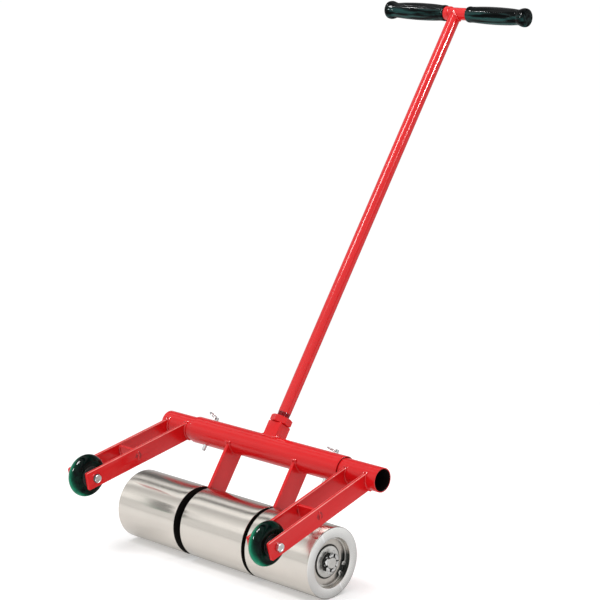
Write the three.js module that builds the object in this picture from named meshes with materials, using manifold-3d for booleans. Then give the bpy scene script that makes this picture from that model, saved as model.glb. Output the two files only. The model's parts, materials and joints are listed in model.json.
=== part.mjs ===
// Three-section weighted floor roller with a T-handle and two outrigger
// transport wheels.  Millimetres, +Z up.  The origin lies on the floor in the
// middle of the footprint; +X (right) runs along the roller axle, +Y is the side
// the handle leans to, and the transport wheels reach out over -Y (forwards).
import * as THREE from 'three';
import { mergeVertices } from 'three/addons/utils/BufferGeometryUtils.js';
import Module from 'manifold-3d';

// ------------------------------------------------------- driving dimensions
// `bore` is always a radius; `from` and `to` run along the axis of the piece.
const INCH = 25.4;
const GAP = 0.3;                 // clearance left between neighbouring solids
const SIDES = [['left', -1], ['right', 1]];

const AXLE_Y = -194.81;          // roller axle, forward of the footprint middle
const AXLE_RADIUS = 0.75 * INCH / 2;
const AXLE_BORE = AXLE_RADIUS + GAP;
const ROLLER = { radius: 4.5 * INCH / 2, bore: 13, edge: 0.8, rim: 1.6 };
const SECTION = { inner: 82, outer: 217 };     // ends of the outer sections
const CENTRE = { from: -66, to: 74 };          // centre section floats on the axle
const COUNTERBORE = { radius: 40, depth: 11 }; // recess in the two outer end faces
const COUNTERBORE_X = SECTION.outer - COUNTERBORE.depth;
const BEARING = { radius: 20.64, width: 11 };
const POCKET = { radius: BEARING.radius + GAP, depth: 14 };

const LEAN = 34;                 // handle line leans this far from vertical
const CROSS_TUBE = { fromAxle: 145.9, radius: 1.75 * INCH / 2, bore: 20.1, half: 168 };
const LEG = { x: { left: -72.5, right: 77.6 }, thickness: 6.3, width: 38 };
const BOSS = { side: 27.5, top: 45, chamfer: 1.2 };   // top from the cross tube axis
const PIPE = { radius: 10.65, bore: 7.9 };            // 1/2 in pipe
const TAPPED_BORE = PIPE.radius + 0.25;
const TEE_FROM_AXLE = 971;       // along the handle line
const TEE_HALF = 142;

const INNER_TUBE = {             // carriage tube, telescopes in the cross tube
  radius: 19.7, bore: 17.6, from: 96, to: { left: 238, right: 246 },
};
// The longer right tube shifts the roller to the left of the footprint middle.
const AXLE_X = (INNER_TUBE.to.left - INNER_TUBE.to.right) / 2;
const ARM = {                    // x: middle planes; reaches from the cross tube axis
  x: { inner: 182.5, outer: 225.1 }, thickness: 5, height: 30,
  start: 8, reach: 237.8, boltReach: 219.7, tipRadius: 3,
};
const ARM_SPACER = { reach: 126, depth: 5, height: 20, rise: 1 };
const SLOPE = { left: 10.6, right: 15.9 };   // carriage droop below level

const WHEEL_X = (ARM.x.inner + ARM.x.outer) / 2;
const PIN = { x: 137, radius: 0.25 * INCH / 2, low: -32, top: 28.4, eye: 25.2 };

const rad = THREE.MathUtils.degToRad;

// ---------------------------------------------------------------- finishes
const red = { color: 0xc8262b, roughness: 0.32, metalness: 0 };
const steel = { color: 0xc9c5bd, roughness: 0.24, metalness: 1 };
const zinc = { color: 0xb9bcbd, roughness: 0.35, metalness: 1 };
const dark = { color: 0x2c2d30, roughness: 0.5, metalness: 0.6 };
const green = { color: 0x0b5a3c, roughness: 0.2, metalness: 0 };
const black = { color: 0x0d0e0f, roughness: 0.45, metalness: 0 };
const vinyl = { color: 0x0c1413, roughness: 0.22, metalness: 0 };

// ------------------------------------------------------------ solid helpers
const wasm = await Module();
wasm.setup();

// Shares vertices by position and drops the triangles that collapse.
function welded(geometry) {
  geometry.deleteAttribute('normal');
  geometry.deleteAttribute('uv');
  const merged = mergeVertices(geometry, 1e-3);
  const corners = merged.index.array;
  const index = [];
  for (let i = 0; i < corners.length; i += 3) {
    const [p, q, r] = corners.slice(i, i + 3);
    if (p !== q && q !== r && p !== r) index.push(p, q, r);
  }
  merged.setIndex(index);
  return merged;
}
function toManifold(geometry) {
  const mesh = welded(geometry);
  return new wasm.Manifold(new wasm.Mesh({
    numProp: 3,
    vertProperties: new Float32Array(mesh.attributes.position.array),
    triVerts: new Uint32Array(mesh.index.array),
  }));
}
function toGeometry(manifold) {
  const mesh = manifold.getMesh();
  const geometry = new THREE.BufferGeometry();
  const positions = new Float32Array(mesh.vertProperties);
  geometry.setAttribute('position', new THREE.BufferAttribute(positions, 3));
  geometry.setIndex(new THREE.BufferAttribute(new Uint32Array(mesh.triVerts), 1));
  return geometry;
}
// Folds the other geometries into the first with one manifold operation.
const combine = (operation) => (base, ...others) => toGeometry(
  others.reduce((result, other) => result[operation](toManifold(other)), toManifold(base)));
const cut = combine('subtract');
const join = combine('add');
const intersect = combine('intersect');

// Turned solids: the profile is [radius, height along the axis], its outside
// travelled towards the positive end.
function lathe(profile, segments) {
  return new THREE.LatheGeometry(profile.map((point) => new THREE.Vector2(...point)), segments);
}
const turnedX = (profile, segments) => welded(lathe(profile, segments).rotateZ(-Math.PI / 2));
const turnedZ = (profile, segments) => welded(lathe(profile, segments).rotateX(Math.PI / 2));

const rod = (radius, from, to) => [[0, from], [radius, from], [radius, to], [0, to]];
const ring = (bore, radius, from, to) =>
  [[bore, from], [radius, from], [radius, to], [bore, to], [bore, from]];
// A profile drawn for the right side, mirrored when the side is the left.
const sided = (side, profile) =>
  (side > 0 ? profile : profile.map(([radius, height]) => [radius, -height]).reverse());

// Cutters that pass right through a piece standing at the origin.
const THROUGH = 60;
const cutterX = (radius, segments) => turnedX(rod(radius, -THROUGH, THROUGH), segments);
const cutterZ = (radius, segments) => turnedZ(rod(radius, -THROUGH, THROUGH), segments);

// A flat plate: the shape's x, y become Y, Z and the thickness straddles X = 0.
function plateX(shape, thickness, curveSegments) {
  const plate = new THREE.ExtrudeGeometry(shape, {
    depth: thickness, bevelEnabled: false, curveSegments,
  });
  plate.applyMatrix4(new THREE.Matrix4().makeBasis(
    new THREE.Vector3(0, 1, 0), new THREE.Vector3(0, 0, 1), new THREE.Vector3(1, 0, 0)));
  plate.translate(-thickness / 2, 0, 0);
  return welded(plate);
}
const polar = (radius, degrees) =>
  new THREE.Vector2(radius * Math.cos(rad(degrees)), radius * Math.sin(rad(degrees)));

// A hexagon with its corners turned off, axis X.
function hexagonX(acrossFlats, from, to, turn) {
  const corner = acrossFlats / Math.sqrt(3);
  const outline = Array.from({ length: 6 }, (_, i) => polar(corner, 60 * i + turn));
  const blank = plateX(new THREE.Shape(outline), to - from);
  blank.translate((from + to) / 2, 0, 0);
  const chamfer = 1;
  const face = corner - chamfer;
  const outside = corner + 0.2;
  return intersect(blank, turnedX([
    [0, from - 1], [face, from - 1], [face, from], [outside, from + chamfer],
    [outside, to - chamfer], [face, to], [face, to + 1], [0, to + 1]], 12));
}

function add(parent, name, geometry, finish, place = [0, 0, 0]) {
  const mesh = new THREE.Mesh(geometry, new THREE.MeshStandardMaterial(finish));
  mesh.name = name;
  mesh.position.set(...place);
  parent.add(mesh);
}
// A left and a right piece, at the same distance x either side of the middle.
function addPair(parent, suffix, make, finish, x = 0) {
  for (const [name, side] of SIDES) {
    add(parent, `${name}_${suffix}`, make(side, name), finish, [side * x, 0, 0]);
  }
}
function addFrame(parent, x, y, z) {
  const frame = new THREE.Group();
  frame.position.set(x, y, z);
  parent.add(frame);
  return frame;
}

// -------------------------------------------------- nested reference frames
const part = new THREE.Group();
// origin on the axle, axes as the part
const axle = addFrame(part, AXLE_X, AXLE_Y, ROLLER.radius);
// handle line: origin on the axle, local +Z up the handle
const line = addFrame(axle, 0, 0, 0);
line.rotation.x = -rad(LEAN);
// origin on the cross tube axis, same turn as the handle line
const crossLine = addFrame(line, 0, 0, CROSS_TUBE.fromAxle);
// origin on the axis of the handle's tee bar
const TEE_Z = TEE_FROM_AXLE - CROSS_TUBE.fromAxle;
const tee = addFrame(crossLine, 0, 0, TEE_Z);

// -------------------------------------------------------------- welded frame
const pinHole = (x) => cutterZ(PIN.radius + 0.45, 12).translate(x, 0, 0);

function crossTube() {
  const { bore, radius, half } = CROSS_TUBE;
  return cut(turnedX(ring(bore, radius, -half, half), 32), pinHole(-PIN.x), pinHole(PIN.x));
}

// Flat bar, round about the axle and coped to the cross tube.
function leg() {
  const half = LEG.width / 2;
  const top = CROSS_TUBE.fromAxle;
  const shape = new THREE.Shape();
  shape.moveTo(half, top);
  shape.lineTo(-half, top);
  shape.lineTo(-half, 0);
  shape.absarc(0, 0, half, Math.PI, 2 * Math.PI, false);
  shape.closePath();
  const cope = cutterX(CROSS_TUBE.radius + GAP, 32).translate(0, 0, top);
  return cut(plateX(shape, LEG.thickness, 10), cope, cutterX(AXLE_BORE, 24));
}

// Square boss saddled on the tube, bored for the handle.
function handleBoss() {
  const { top, chamfer } = BOSS;
  const half = BOSS.side / 2;
  const boreFloor = 26;
  const outline = [
    [half, 0], [half, top - chamfer], [half - chamfer, top],
    [-half + chamfer, top], [-half, top - chamfer], [-half, 0],
  ].map((point) => new THREE.Vector2(...point));
  return cut(plateX(new THREE.Shape(outline), BOSS.side),
    cutterX(CROSS_TUBE.radius + GAP, 32),
    turnedZ(rod(TAPPED_BORE, boreFloor, 80), 20));
}

function jamNut() {
  const acrossFlats = 32;
  const top = 57;
  const blank = hexagonX(acrossFlats, BOSS.top + GAP, top, 8);
  blank.rotateY(-Math.PI / 2);          // axis X to axis Z
  return cut(blank, cutterZ(TAPPED_BORE, 20));
}

add(crossLine, 'cross_tube', crossTube(), red);
for (const [name] of SIDES) add(line, `${name}_leg`, leg(), red, [LEG.x[name], 0, 0]);
add(crossLine, 'handle_boss', handleBoss(), red);
add(crossLine, 'jam_nut', jamNut(), red);

// ------------------------------------------------------------------- handle
const THREAD = { radius: 10.15, from: 28, to: 65.5, lead: 1, leadLength: 2, runout: 0.6 };
const COLLAR = { radius: 12.1, from: 11, to: 21, chamfer: 1.6 };  // beside the left grip
const GRIP = { left: { from: 21.4, to: 153.2 }, right: { from: 28.4, to: 154.4 } };
const GRIP_SOCKET_END = TEE_HALF + 4;
// Grip outside from the mouth bead to the end knob: [radius, share of the length]
const GRIP_OUTSIDE = [
  [12.6, 0], [13.6, 0.006], [14, 0.034], [13.6, 0.064], [14.6, 0.19], [15.2, 0.49],
  [14.4, 0.735], [13.2, 0.839], [13.4, 0.869], [15.4, 0.914], [16, 0.955],
  [14.8, 0.985], [11.5, 1],
];

// Pipe with a threaded foot, coped to the tee bar.
function handlePipe() {
  const { radius, from, to, lead, leadLength, runout } = THREAD;
  const pipe = turnedZ([
    [PIPE.bore, from], [radius - lead, from], [radius, from + leadLength],
    [radius, to - runout], [PIPE.radius, to],
    [PIPE.radius, TEE_Z], [PIPE.bore, TEE_Z], [PIPE.bore, from]], 20);
  return cut(pipe, cutterX(PIPE.radius + GAP, 20).translate(0, 0, TEE_Z));
}

// Tee bar with the stop collar turned on it, left of the middle.
function crossbar() {
  const { radius, from, to, chamfer } = COLLAR;
  return turnedX([
    [PIPE.bore, -TEE_HALF], [PIPE.radius, -TEE_HALF],
    [PIPE.radius, -to], [radius - chamfer, -to], [radius, -to + chamfer],
    [radius, -from - chamfer], [PIPE.radius, -from],
    [PIPE.radius, TEE_HALF], [PIPE.bore, TEE_HALF], [PIPE.bore, -TEE_HALF]], 20);
}

// Moulded grip with a closed outer end.
function grip(side, name) {
  const { from, to } = GRIP[name];
  const bore = PIPE.radius + GAP;
  return turnedX(sided(side, [
    [bore, from],
    ...GRIP_OUTSIDE.map(([radius, share]) => [radius, from + (to - from) * share]),
    [0, to], [0, GRIP_SOCKET_END], [bore, GRIP_SOCKET_END], [bore, from]]), 20);
}

add(crossLine, 'handle_pipe', handlePipe(), red);
add(tee, 'handle_crossbar', crossbar(), red);
addPair(tee, 'grip', grip, vinyl);

// -------------------------------------------------------- axle and its fittings
const NUT = { acrossFlats: 28.6, from: SECTION.outer - 8.7, to: SECTION.outer + 0.4 };
const SLOT = { width: 4.2, depth: 4.3, boxLength: 5 };
const COTTER_X = SECTION.outer - 2.4;
const COTTER_TURN = -20;               // cotter holes and nuts are turned off vertical
const WASHER_RADIUS = 25;
const THRUST = { radius: 14.5, thickness: 1.4 };

function axleShaft() {
  const end = SECTION.outer + 0.2;
  const chamfer = 1.2;
  const face = AXLE_RADIUS - chamfer;
  const shaft = turnedX([
    [0, -end], [face, -end], [AXLE_RADIUS, -end + chamfer],
    [AXLE_RADIUS, end - chamfer], [face, end], [0, end]], 24);
  const hole = (x) => cutterZ(1.75, 8).rotateX(rad(COTTER_TURN)).translate(x, 0, 0);
  return cut(shaft, hole(COTTER_X), hole(-COTTER_X));
}

// Nut with three slots across its outer face.
function castleNut(side) {
  const slotX = NUT.to - SLOT.depth + SLOT.boxLength / 2;
  const slots = [0, 60, 120].map((turn) =>
    new THREE.BoxGeometry(SLOT.boxLength, SLOT.width, 2 * THROUGH)
      .translate(slotX, 0, 0)
      .rotateX(rad(turn)));
  const bore = turnedX(rod(AXLE_BORE, NUT.from - 10, NUT.to + 10), 20);
  const nut = cut(hexagonX(NUT.acrossFlats, NUT.from, NUT.to, 0), bore, ...slots);
  if (side < 0) nut.rotateY(Math.PI);
  return nut.rotateX(rad(COTTER_TURN));
}

// Cotter pin: eye at the top, tail bent over at the foot.
function cotter(side) {
  const shank = turnedZ([[0, -17.5], [0.9, -17.5], [1.35, -16.8], [1.35, 15], [0, 15]], 8);
  const eye = new THREE.TorusGeometry(2.1, 1.05, 6, 10)
    .rotateY(Math.PI / 2)
    .translate(0, 0, 17);
  const tail = turnedZ([[0, 0], [1.2, 0], [1.2, 7], [0.7, 7.5], [0, 7.5]], 8)
    .rotateX(rad(-112))
    .translate(0, 0, -16.6);
  const pin = join(shank, eye, tail);
  if (side < 0) pin.rotateZ(Math.PI);
  return pin.rotateX(rad(COTTER_TURN));
}

// Fills the space between counterbore floor and nut.
const axleWasher = (side) => turnedX(
  sided(side, ring(AXLE_BORE, WASHER_RADIUS, COUNTERBORE_X + GAP, NUT.from - GAP)), 24);

function thrustWasher(x) {
  const half = THRUST.thickness / 2;
  return turnedX(ring(AXLE_BORE, THRUST.radius, x - half, x + half), 20);
}

add(axle, 'axle_shaft', axleShaft(), steel);
addPair(axle, 'axle_nut', castleNut, zinc);
addPair(axle, 'cotter_pin', cotter, zinc, COTTER_X);
addPair(axle, 'axle_washer', axleWasher, steel);

const besideLeg = LEG.thickness / 2 + GAP + THRUST.thickness / 2;
for (const [name, x] of [
  ['left_outer', LEG.x.left - besideLeg],
  ['left_inner', LEG.x.left + besideLeg],
  ['right_inner', LEG.x.right - besideLeg],
  ['right_outer', LEG.x.right + besideLeg],
]) add(axle, `${name}_thrust_washer`, thrustWasher(x), steel);

// ---------------------------------------------------------- roller sections
// Outer section: stepped through bore, a bearing pocket at both ends and a
// counterbore in the outer face.
function outerSection(side) {
  const { radius, bore, edge, rim } = ROLLER;
  const { inner, outer } = SECTION;
  const innerFloor = inner + POCKET.depth;
  const outerFloor = COUNTERBORE_X - BEARING.width - GAP;
  return turnedX(sided(side, [
    [POCKET.radius, inner], [radius - edge, inner], [radius, inner + edge],
    [radius, outer - rim], [radius - rim, outer],
    [COUNTERBORE.radius, outer], [COUNTERBORE.radius, COUNTERBORE_X],
    [POCKET.radius, COUNTERBORE_X], [POCKET.radius, outerFloor], [bore, outerFloor],
    [bore, innerFloor], [POCKET.radius, innerFloor], [POCKET.radius, inner]]), 32);
}

function centreSection() {
  const { radius, bore, edge } = ROLLER;
  const { from, to } = CENTRE;
  const leftFloor = from + POCKET.depth;
  const rightFloor = to - POCKET.depth;
  return turnedX([
    [POCKET.radius, from], [radius - edge, from], [radius, from + edge],
    [radius, to - edge], [radius - edge, to],
    [POCKET.radius, to], [POCKET.radius, rightFloor], [bore, rightFloor],
    [bore, leftFloor], [POCKET.radius, leftFloor], [POCKET.radius, from]], 32);
}

function axleBearing(from) {
  return turnedX(ring(AXLE_BORE, BEARING.radius, from, from + BEARING.width - GAP), 20);
}

// Retaining ring in the counterbore with two drilled lugs.  Its opening faces +Y,
// 30 degrees below level on the right and 30 degrees above on the left.
function circlip(side) {
  const outer = COUNTERBORE.radius - GAP;
  const inner = outer - 3.2;
  const lug = outer - 8;               // inner radius of the lugs
  const open = 8;                      // half angle of the opening
  const lugEnd = open + 9;
  const bandStart = open + 11;
  const outline = [];
  for (let i = 0; i <= 22; i++) outline.push(polar(outer, open + (360 - 2 * open) * i / 22));
  outline.push(polar(lug, -open), polar(lug, -lugEnd));
  for (let i = 0; i <= 18; i++) {
    outline.push(polar(inner, -bandStart - (360 - 2 * bandStart) * i / 18));
  }
  outline.push(polar(lug, lugEnd), polar(lug, open));
  const shape = new THREE.Shape(outline);
  for (const angle of [open + 4.6, -open - 4.6]) {
    const hole = new THREE.Path();
    const centre = polar(inner - 1.5, angle);
    hole.absarc(centre.x, centre.y, 1.2, 0, 2 * Math.PI, true);
    shape.holes.push(hole);
  }
  const plate = plateX(shape, 1.4, 4).rotateX(rad(-30));
  if (side < 0) plate.rotateY(Math.PI);
  return plate.translate(side * (COUNTERBORE_X + 3.6), 0, 0);
}

addPair(axle, 'roller_section', outerSection, steel);
add(axle, 'centre_roller_section', centreSection(), steel);
for (const [name, from] of [
  ['left_outer', -COUNTERBORE_X + GAP / 2],
  ['left_inner', -SECTION.inner - POCKET.depth + GAP],
  ['centre_left', CENTRE.from + POCKET.depth - BEARING.width],
  ['centre_right', CENTRE.to - POCKET.depth + GAP],
  ['right_inner', SECTION.inner + POCKET.depth - BEARING.width],
  ['right_outer', COUNTERBORE_X - BEARING.width + GAP / 2],
]) add(axle, `${name}_bearing`, axleBearing(from), dark);
addPair(axle, 'circlip', circlip, steel);

// ---------------------------------------------------------- transport wheels
const WHEEL = { radius: 35, halfWidth: 12, hubRadius: 17.5 };
const BOLT = { radius: 3.97, acrossFlats: 12.7 };
const BOLT_BORE = BOLT.radius + GAP;
const WHEEL_BEARING = { radius: 11, width: 7.1 };
const WHEEL_SPACER_RADIUS = 6.4;
const HUB = { inset: 0.4, webHalf: 4.6, webBore: 8.4 };
// Tyre outside: [radius, x]
const TYRE_OUTSIDE = [
  [24, -12], [28.6, -11], [32, -8.2], [34.2, -4.4], [WHEEL.radius, 0],
  [34.2, 4.4], [32, 8.2], [28.6, 11], [24, 12],
];
// from the wheel's middle plane to the outside and inside faces of the arms
const ARM_OUTSIDE = (ARM.x.outer - ARM.x.inner) / 2 + ARM.thickness / 2;
const ARM_INSIDE = ARM_OUTSIDE - ARM.thickness - GAP;

// Bolt with its head at the +X end.
function wheelBolt() {
  const { radius, acrossFlats } = BOLT;
  const tip = -ARM_OUTSIDE - 9.5;
  const chamfer = 0.8;
  const shankTop = ARM_OUTSIDE + 2;
  return join(hexagonX(acrossFlats, ARM_OUTSIDE + GAP, ARM_OUTSIDE + 5.7, 12),
    turnedX([[0, tip], [radius - chamfer, tip], [radius, tip + chamfer],
      [radius, shankTop], [0, shankTop]], 12));
}
function wheelNut() {
  const blank = hexagonX(BOLT.acrossFlats, -ARM_OUTSIDE - 7.3, -ARM_OUTSIDE - GAP, 20);
  return cut(blank, cutterX(BOLT_BORE, 12));
}
const wheelSpacer = (from, to) => turnedX(ring(BOLT_BORE, WHEEL_SPACER_RADIUS, from, to), 14);
function tyre() {
  const bore = WHEEL.hubRadius + GAP;
  return turnedX([[bore, -11.4], ...TYRE_OUTSIDE, [bore, 11.4], [bore, -11.4]], 32);
}
// Hub with a bearing seat at each end and a web between them.
function wheelHub() {
  const seat = WHEEL_BEARING.radius + GAP;
  const end = WHEEL.halfWidth - HUB.inset;
  const { webHalf, webBore } = HUB;
  return turnedX([
    [seat, -end], [WHEEL.hubRadius, -end], [WHEEL.hubRadius, end], [seat, end],
    [seat, webHalf], [webBore, webHalf], [webBore, -webHalf], [seat, -webHalf],
    [seat, -end]], 20);
}
const wheelBearing = (from) =>
  turnedX(ring(BOLT_BORE, WHEEL_BEARING.radius, from, from + WHEEL_BEARING.width), 16);

// The frame has its origin on the bolt and its axes as the part.
function addWheel(frame, name) {
  const half = WHEEL.halfWidth;
  add(frame, `${name}_wheel_bolt`, wheelBolt(), zinc);
  add(frame, `${name}_wheel_nut`, wheelNut(), zinc);
  add(frame, `${name}_wheel_spacer_a`, wheelSpacer(-ARM_INSIDE, -half - GAP), zinc);
  add(frame, `${name}_wheel_spacer_b`, wheelSpacer(half + GAP, ARM_INSIDE), zinc);
  add(frame, `${name}_tyre`, tyre(), green);
  add(frame, `${name}_hub`, wheelHub(), black);
  add(frame, `${name}_wheel_bearing_a`, wheelBearing(-half), zinc);
  add(frame, `${name}_wheel_bearing_b`, wheelBearing(half - WHEEL_BEARING.width), zinc);
}

// ---------------------------------------------------------------- carriages
// The carriage tube keeps its pin hole on the handle line.
function innerTube(side, name) {
  const { bore, radius, from, to } = INNER_TUBE;
  return cut(turnedX(sided(side, ring(bore, radius, from, to[name])), 28),
    pinHole(side * PIN.x));
}

// Bar along +Y with rounded tip corners, coped to the carriage tube.
function arm() {
  const { start, reach, tipRadius } = ARM;
  const half = ARM.height / 2;
  const shape = new THREE.Shape();
  shape.moveTo(start, -half);
  shape.lineTo(reach - tipRadius, -half);
  shape.absarc(reach - tipRadius, -half + tipRadius, tipRadius, -Math.PI / 2, 0, false);
  shape.lineTo(reach, half - tipRadius);
  shape.absarc(reach - tipRadius, half - tipRadius, tipRadius, 0, Math.PI / 2, false);
  shape.lineTo(start, half);
  shape.closePath();
  return cut(plateX(shape, ARM.thickness, 5),
    cutterX(INNER_TUBE.radius + GAP, 28),
    cutterX(BOLT_BORE, 12).translate(0, ARM.boltReach, 0));
}

function armSpacer() {
  const between = ARM.x.outer - ARM.x.inner - ARM.thickness - 2 * GAP;
  return welded(new THREE.BoxGeometry(between, ARM_SPACER.depth, ARM_SPACER.height));
}

function addCarriage(name, side) {
  const { fromAxle } = CROSS_TUBE;
  const tubeY = fromAxle * Math.sin(rad(LEAN));
  const tubeZ = fromAxle * Math.cos(rad(LEAN));
  // carriage frame: local +Y points forwards and down along the arms, and its
  // X is the part's -X, so lateral positions change sign
  const carriage = addFrame(axle, 0, tubeY, tubeZ);
  const slope = rad(SLOPE[name]);
  const along = new THREE.Vector3(0, -Math.cos(slope), -Math.sin(slope));
  const up = new THREE.Vector3(0, -Math.sin(slope), Math.cos(slope));
  const across = new THREE.Vector3().crossVectors(along, up);
  carriage.quaternion.setFromRotationMatrix(
    new THREE.Matrix4().makeBasis(across, along, up));

  for (const [label, x] of Object.entries(ARM.x)) {
    add(carriage, `${name}_${label}_arm`, arm(), red, [-side * x, 0, 0]);
  }
  add(carriage, `${name}_arm_spacer`, armSpacer(), red,
    [-side * WHEEL_X, ARM_SPACER.reach, ARM_SPACER.rise]);

  const { boltReach } = ARM;
  addWheel(addFrame(axle, side * WHEEL_X,
    tubeY + along.y * boltReach, tubeZ + along.z * boltReach), name);
}

// ---------------------------------------------------------------- lock pins
const PULL_RING = { radius: 9.4, wire: 0.9, tilt: { left: 27, right: 6 } };

function lockPin() {
  const { radius, low, top, eye } = PIN;
  const face = radius - 1;
  const pin = turnedZ([
    [0, low], [face, low], [radius, low + 1.2],
    [radius, top - 1], [face, top], [0, top]], 14);
  return cut(pin, cutterZ(1.8, 10).rotateX(Math.PI / 2).translate(0, 0, eye));
}

// The ring's plane holds the eye axis (local Y) and leans up towards -X.
function pullRing(name) {
  const { radius, wire, tilt } = PULL_RING;
  return welded(new THREE.TorusGeometry(radius, wire, 6, 16)
    .translate(-radius, 0, 0)
    .rotateY(rad(tilt[name])));
}

for (const [name, side] of SIDES) {
  add(crossLine, `${name}_inner_tube`, innerTube(side, name), red);
  addCarriage(name, side);
  add(crossLine, `${name}_lock_pin`, lockPin(), zinc, [side * PIN.x, 0, 0]);
  add(crossLine, `${name}_pin_ring`, pullRing(name), zinc, [side * PIN.x, 0, PIN.eye]);
}

export default part;
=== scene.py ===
"""A hand roller: three steel sections on one axle, carried by a red yoke with a long T-handle.

A tube slides out of each end of the yoke's cross tube. It is held by a lock pin and carries
two arms with a small green-tyred wheel between them.

The axle lies along X with the left side at -X. Front is -Y, +Z is up, the floor is at z = 0.
The frame and the lights are in metres; shapes are in millimetres, laid out in local Axes.
"""
import json
import math
from math import cos, pi, radians, sin, sqrt

import bmesh
import bpy
from mathutils import Matrix, Vector, noise

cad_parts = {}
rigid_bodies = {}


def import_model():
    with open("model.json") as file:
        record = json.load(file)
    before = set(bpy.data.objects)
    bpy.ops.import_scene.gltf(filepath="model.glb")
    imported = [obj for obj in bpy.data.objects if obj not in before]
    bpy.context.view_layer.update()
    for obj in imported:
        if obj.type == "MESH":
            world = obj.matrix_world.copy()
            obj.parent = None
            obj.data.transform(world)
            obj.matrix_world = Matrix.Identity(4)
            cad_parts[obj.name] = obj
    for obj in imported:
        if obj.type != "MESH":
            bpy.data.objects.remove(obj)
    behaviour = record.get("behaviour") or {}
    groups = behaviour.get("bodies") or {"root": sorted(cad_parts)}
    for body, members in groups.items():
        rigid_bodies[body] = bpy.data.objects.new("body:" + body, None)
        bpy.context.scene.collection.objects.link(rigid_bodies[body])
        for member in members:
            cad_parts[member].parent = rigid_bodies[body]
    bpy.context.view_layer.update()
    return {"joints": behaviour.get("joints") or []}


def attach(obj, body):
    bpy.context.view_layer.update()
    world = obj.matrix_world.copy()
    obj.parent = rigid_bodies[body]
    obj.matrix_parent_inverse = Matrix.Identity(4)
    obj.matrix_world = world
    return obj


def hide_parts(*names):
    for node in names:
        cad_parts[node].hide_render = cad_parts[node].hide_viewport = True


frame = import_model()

scene = bpy.context.scene

# ------------------------------------------------------------------ main dimensions, mm
MM = 0.001
SIDES = (("left", -1), ("right", 1))
FIT = 0.3                        # clearance between neighbouring pieces

TUBE_R, TUBE_BORE, TUBE_HALF = 22.225, 20.1, 168.0
TUBE_OVER_AXLE = 145.9
LEGS = (("left", -72.5), ("right", 77.6))        # side, x of the leg's middle
LEG_THICK, LEG_HALF = 6.3, 19.0
BOSS_HALF, BOSS_TOP = 13.75, 45.0

PIPE_R, PIPE_BORE = 10.65, 7.9
THREAD_TOP = 65.5
TEE_UP = 825.1                   # tee bar above the cross tube
TEE_HALF = 142.0

ROLLER_R = 57.15
SIDE_IN, SIDE_OUT = 82.0, 217.0  # ends of a side section
CENTRE_LEFT, CENTRE_RIGHT = -66.0, 74.0
POCKET_R, POCKET_DEPTH = 40.0, 11.0
POCKET_FLOOR = SIDE_OUT - POCKET_DEPTH
BEARING_R, BEARING_SEAT = 20.64, 11.0
SEAT_R = BEARING_R + FIT
RECESS = 14.0                    # bearing recess in the ends that face each other
AXLE_R = 9.525
AXLE_HOLE_R = AXLE_R + FIT

SLIDE_R, SLIDE_BORE, SLIDE_IN = 19.7, 17.6, 96.0
SLIDE_OUT = {"left": 238.0, "right": 246.0}
ARM_X = {"inner": 182.5, "outer": 225.1}
ARM_THICK, ARM_HALF, ARM_END = 5.0, 15.0, 237.5
SPACER_AT = 126.0                # along the arm
PIN_EYE = 25.2                   # pin's eye above the tube's axis
PIN_HOLE_R = 3.6
BOLT_R = 3.97
BOLT_HOLE_R = BOLT_R + FIT


# ------------------------------------------------------------------ local frames
class Axes:
    """An origin and three directions in the row frame; its coordinates are in millimetres."""

    def __init__(self, origin, x, y, z):
        self.origin, self.x, self.y, self.z = map(Vector, (origin, x, y, z))

    def point(self, x, y, z):
        return self.origin + (self.x * x + self.y * y + self.z * z) * MM

    def moved(self, x, y, z):
        return Axes(self.point(x, y, z), self.x, self.y, self.z)


JOINT = {joint["name"]: joint for joint in frame["joints"]}
X = Vector((1, 0, 0))
UP = Vector(JOINT["left_pin_pull"]["axis"]).normalized()    # up the handle
REAR = UP.cross(X).normalized()                             # square to the handle, towards +Y
AXLE = Vector(JOINT["centre_roller_spin"]["pos_m"])
ring_eye = Vector(JOINT["right_ring_swing"]["pos_m"])
TUBE = Vector((AXLE.x, ring_eye.y, ring_eye.z)) - UP * PIN_EYE * MM
TEE = TUBE + UP * TEE_UP * MM
PIN_X = (ring_eye.x - AXLE.x) / MM


def upright(origin, sign=1):
    return Axes(origin, X * sign, (0, 1, 0), (0, 0, 1))


def leaning(origin, sign=1):
    return Axes(origin, X * sign, REAR, UP)


AXLE_AXES = upright(AXLE)
LEG_AXES = leaning(AXLE)
TUBE_AXES = leaning(TUBE)
TEE_AXES = leaning(TEE)
ARM_AXES, ARM_REACH, WHEEL_AXES = {}, {}, {}
for side, _ in SIDES:
    bolt = Vector(JOINT[side + "_wheel_spin"]["pos_m"])
    reach = Vector((0, bolt.y - TUBE.y, bolt.z - TUBE.z))
    ARM_REACH[side] = reach.length / MM
    reach.normalize()
    square = Vector((0, -reach.z, reach.y)) * (1 if reach.y > 0 else -1)
    ARM_AXES[side] = Axes(TUBE, X, reach, square)
    WHEEL_AXES[side] = upright(bolt)


# ------------------------------------------------------------------ objects
def fill_bmesh(data, verts, faces):
    data.from_pydata([tuple(v) for v in verts], [], faces)
    bm = bmesh.new()
    bm.from_mesh(data)
    return bm


def drain_bmesh(bm):
    """Gives back (vertices, faces) and frees the bmesh."""
    bm.verts.index_update()
    verts = [v.co.copy() for v in bm.verts]
    faces = [[v.index for v in face.verts] for face in bm.faces]
    bm.free()
    return verts, faces


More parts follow.
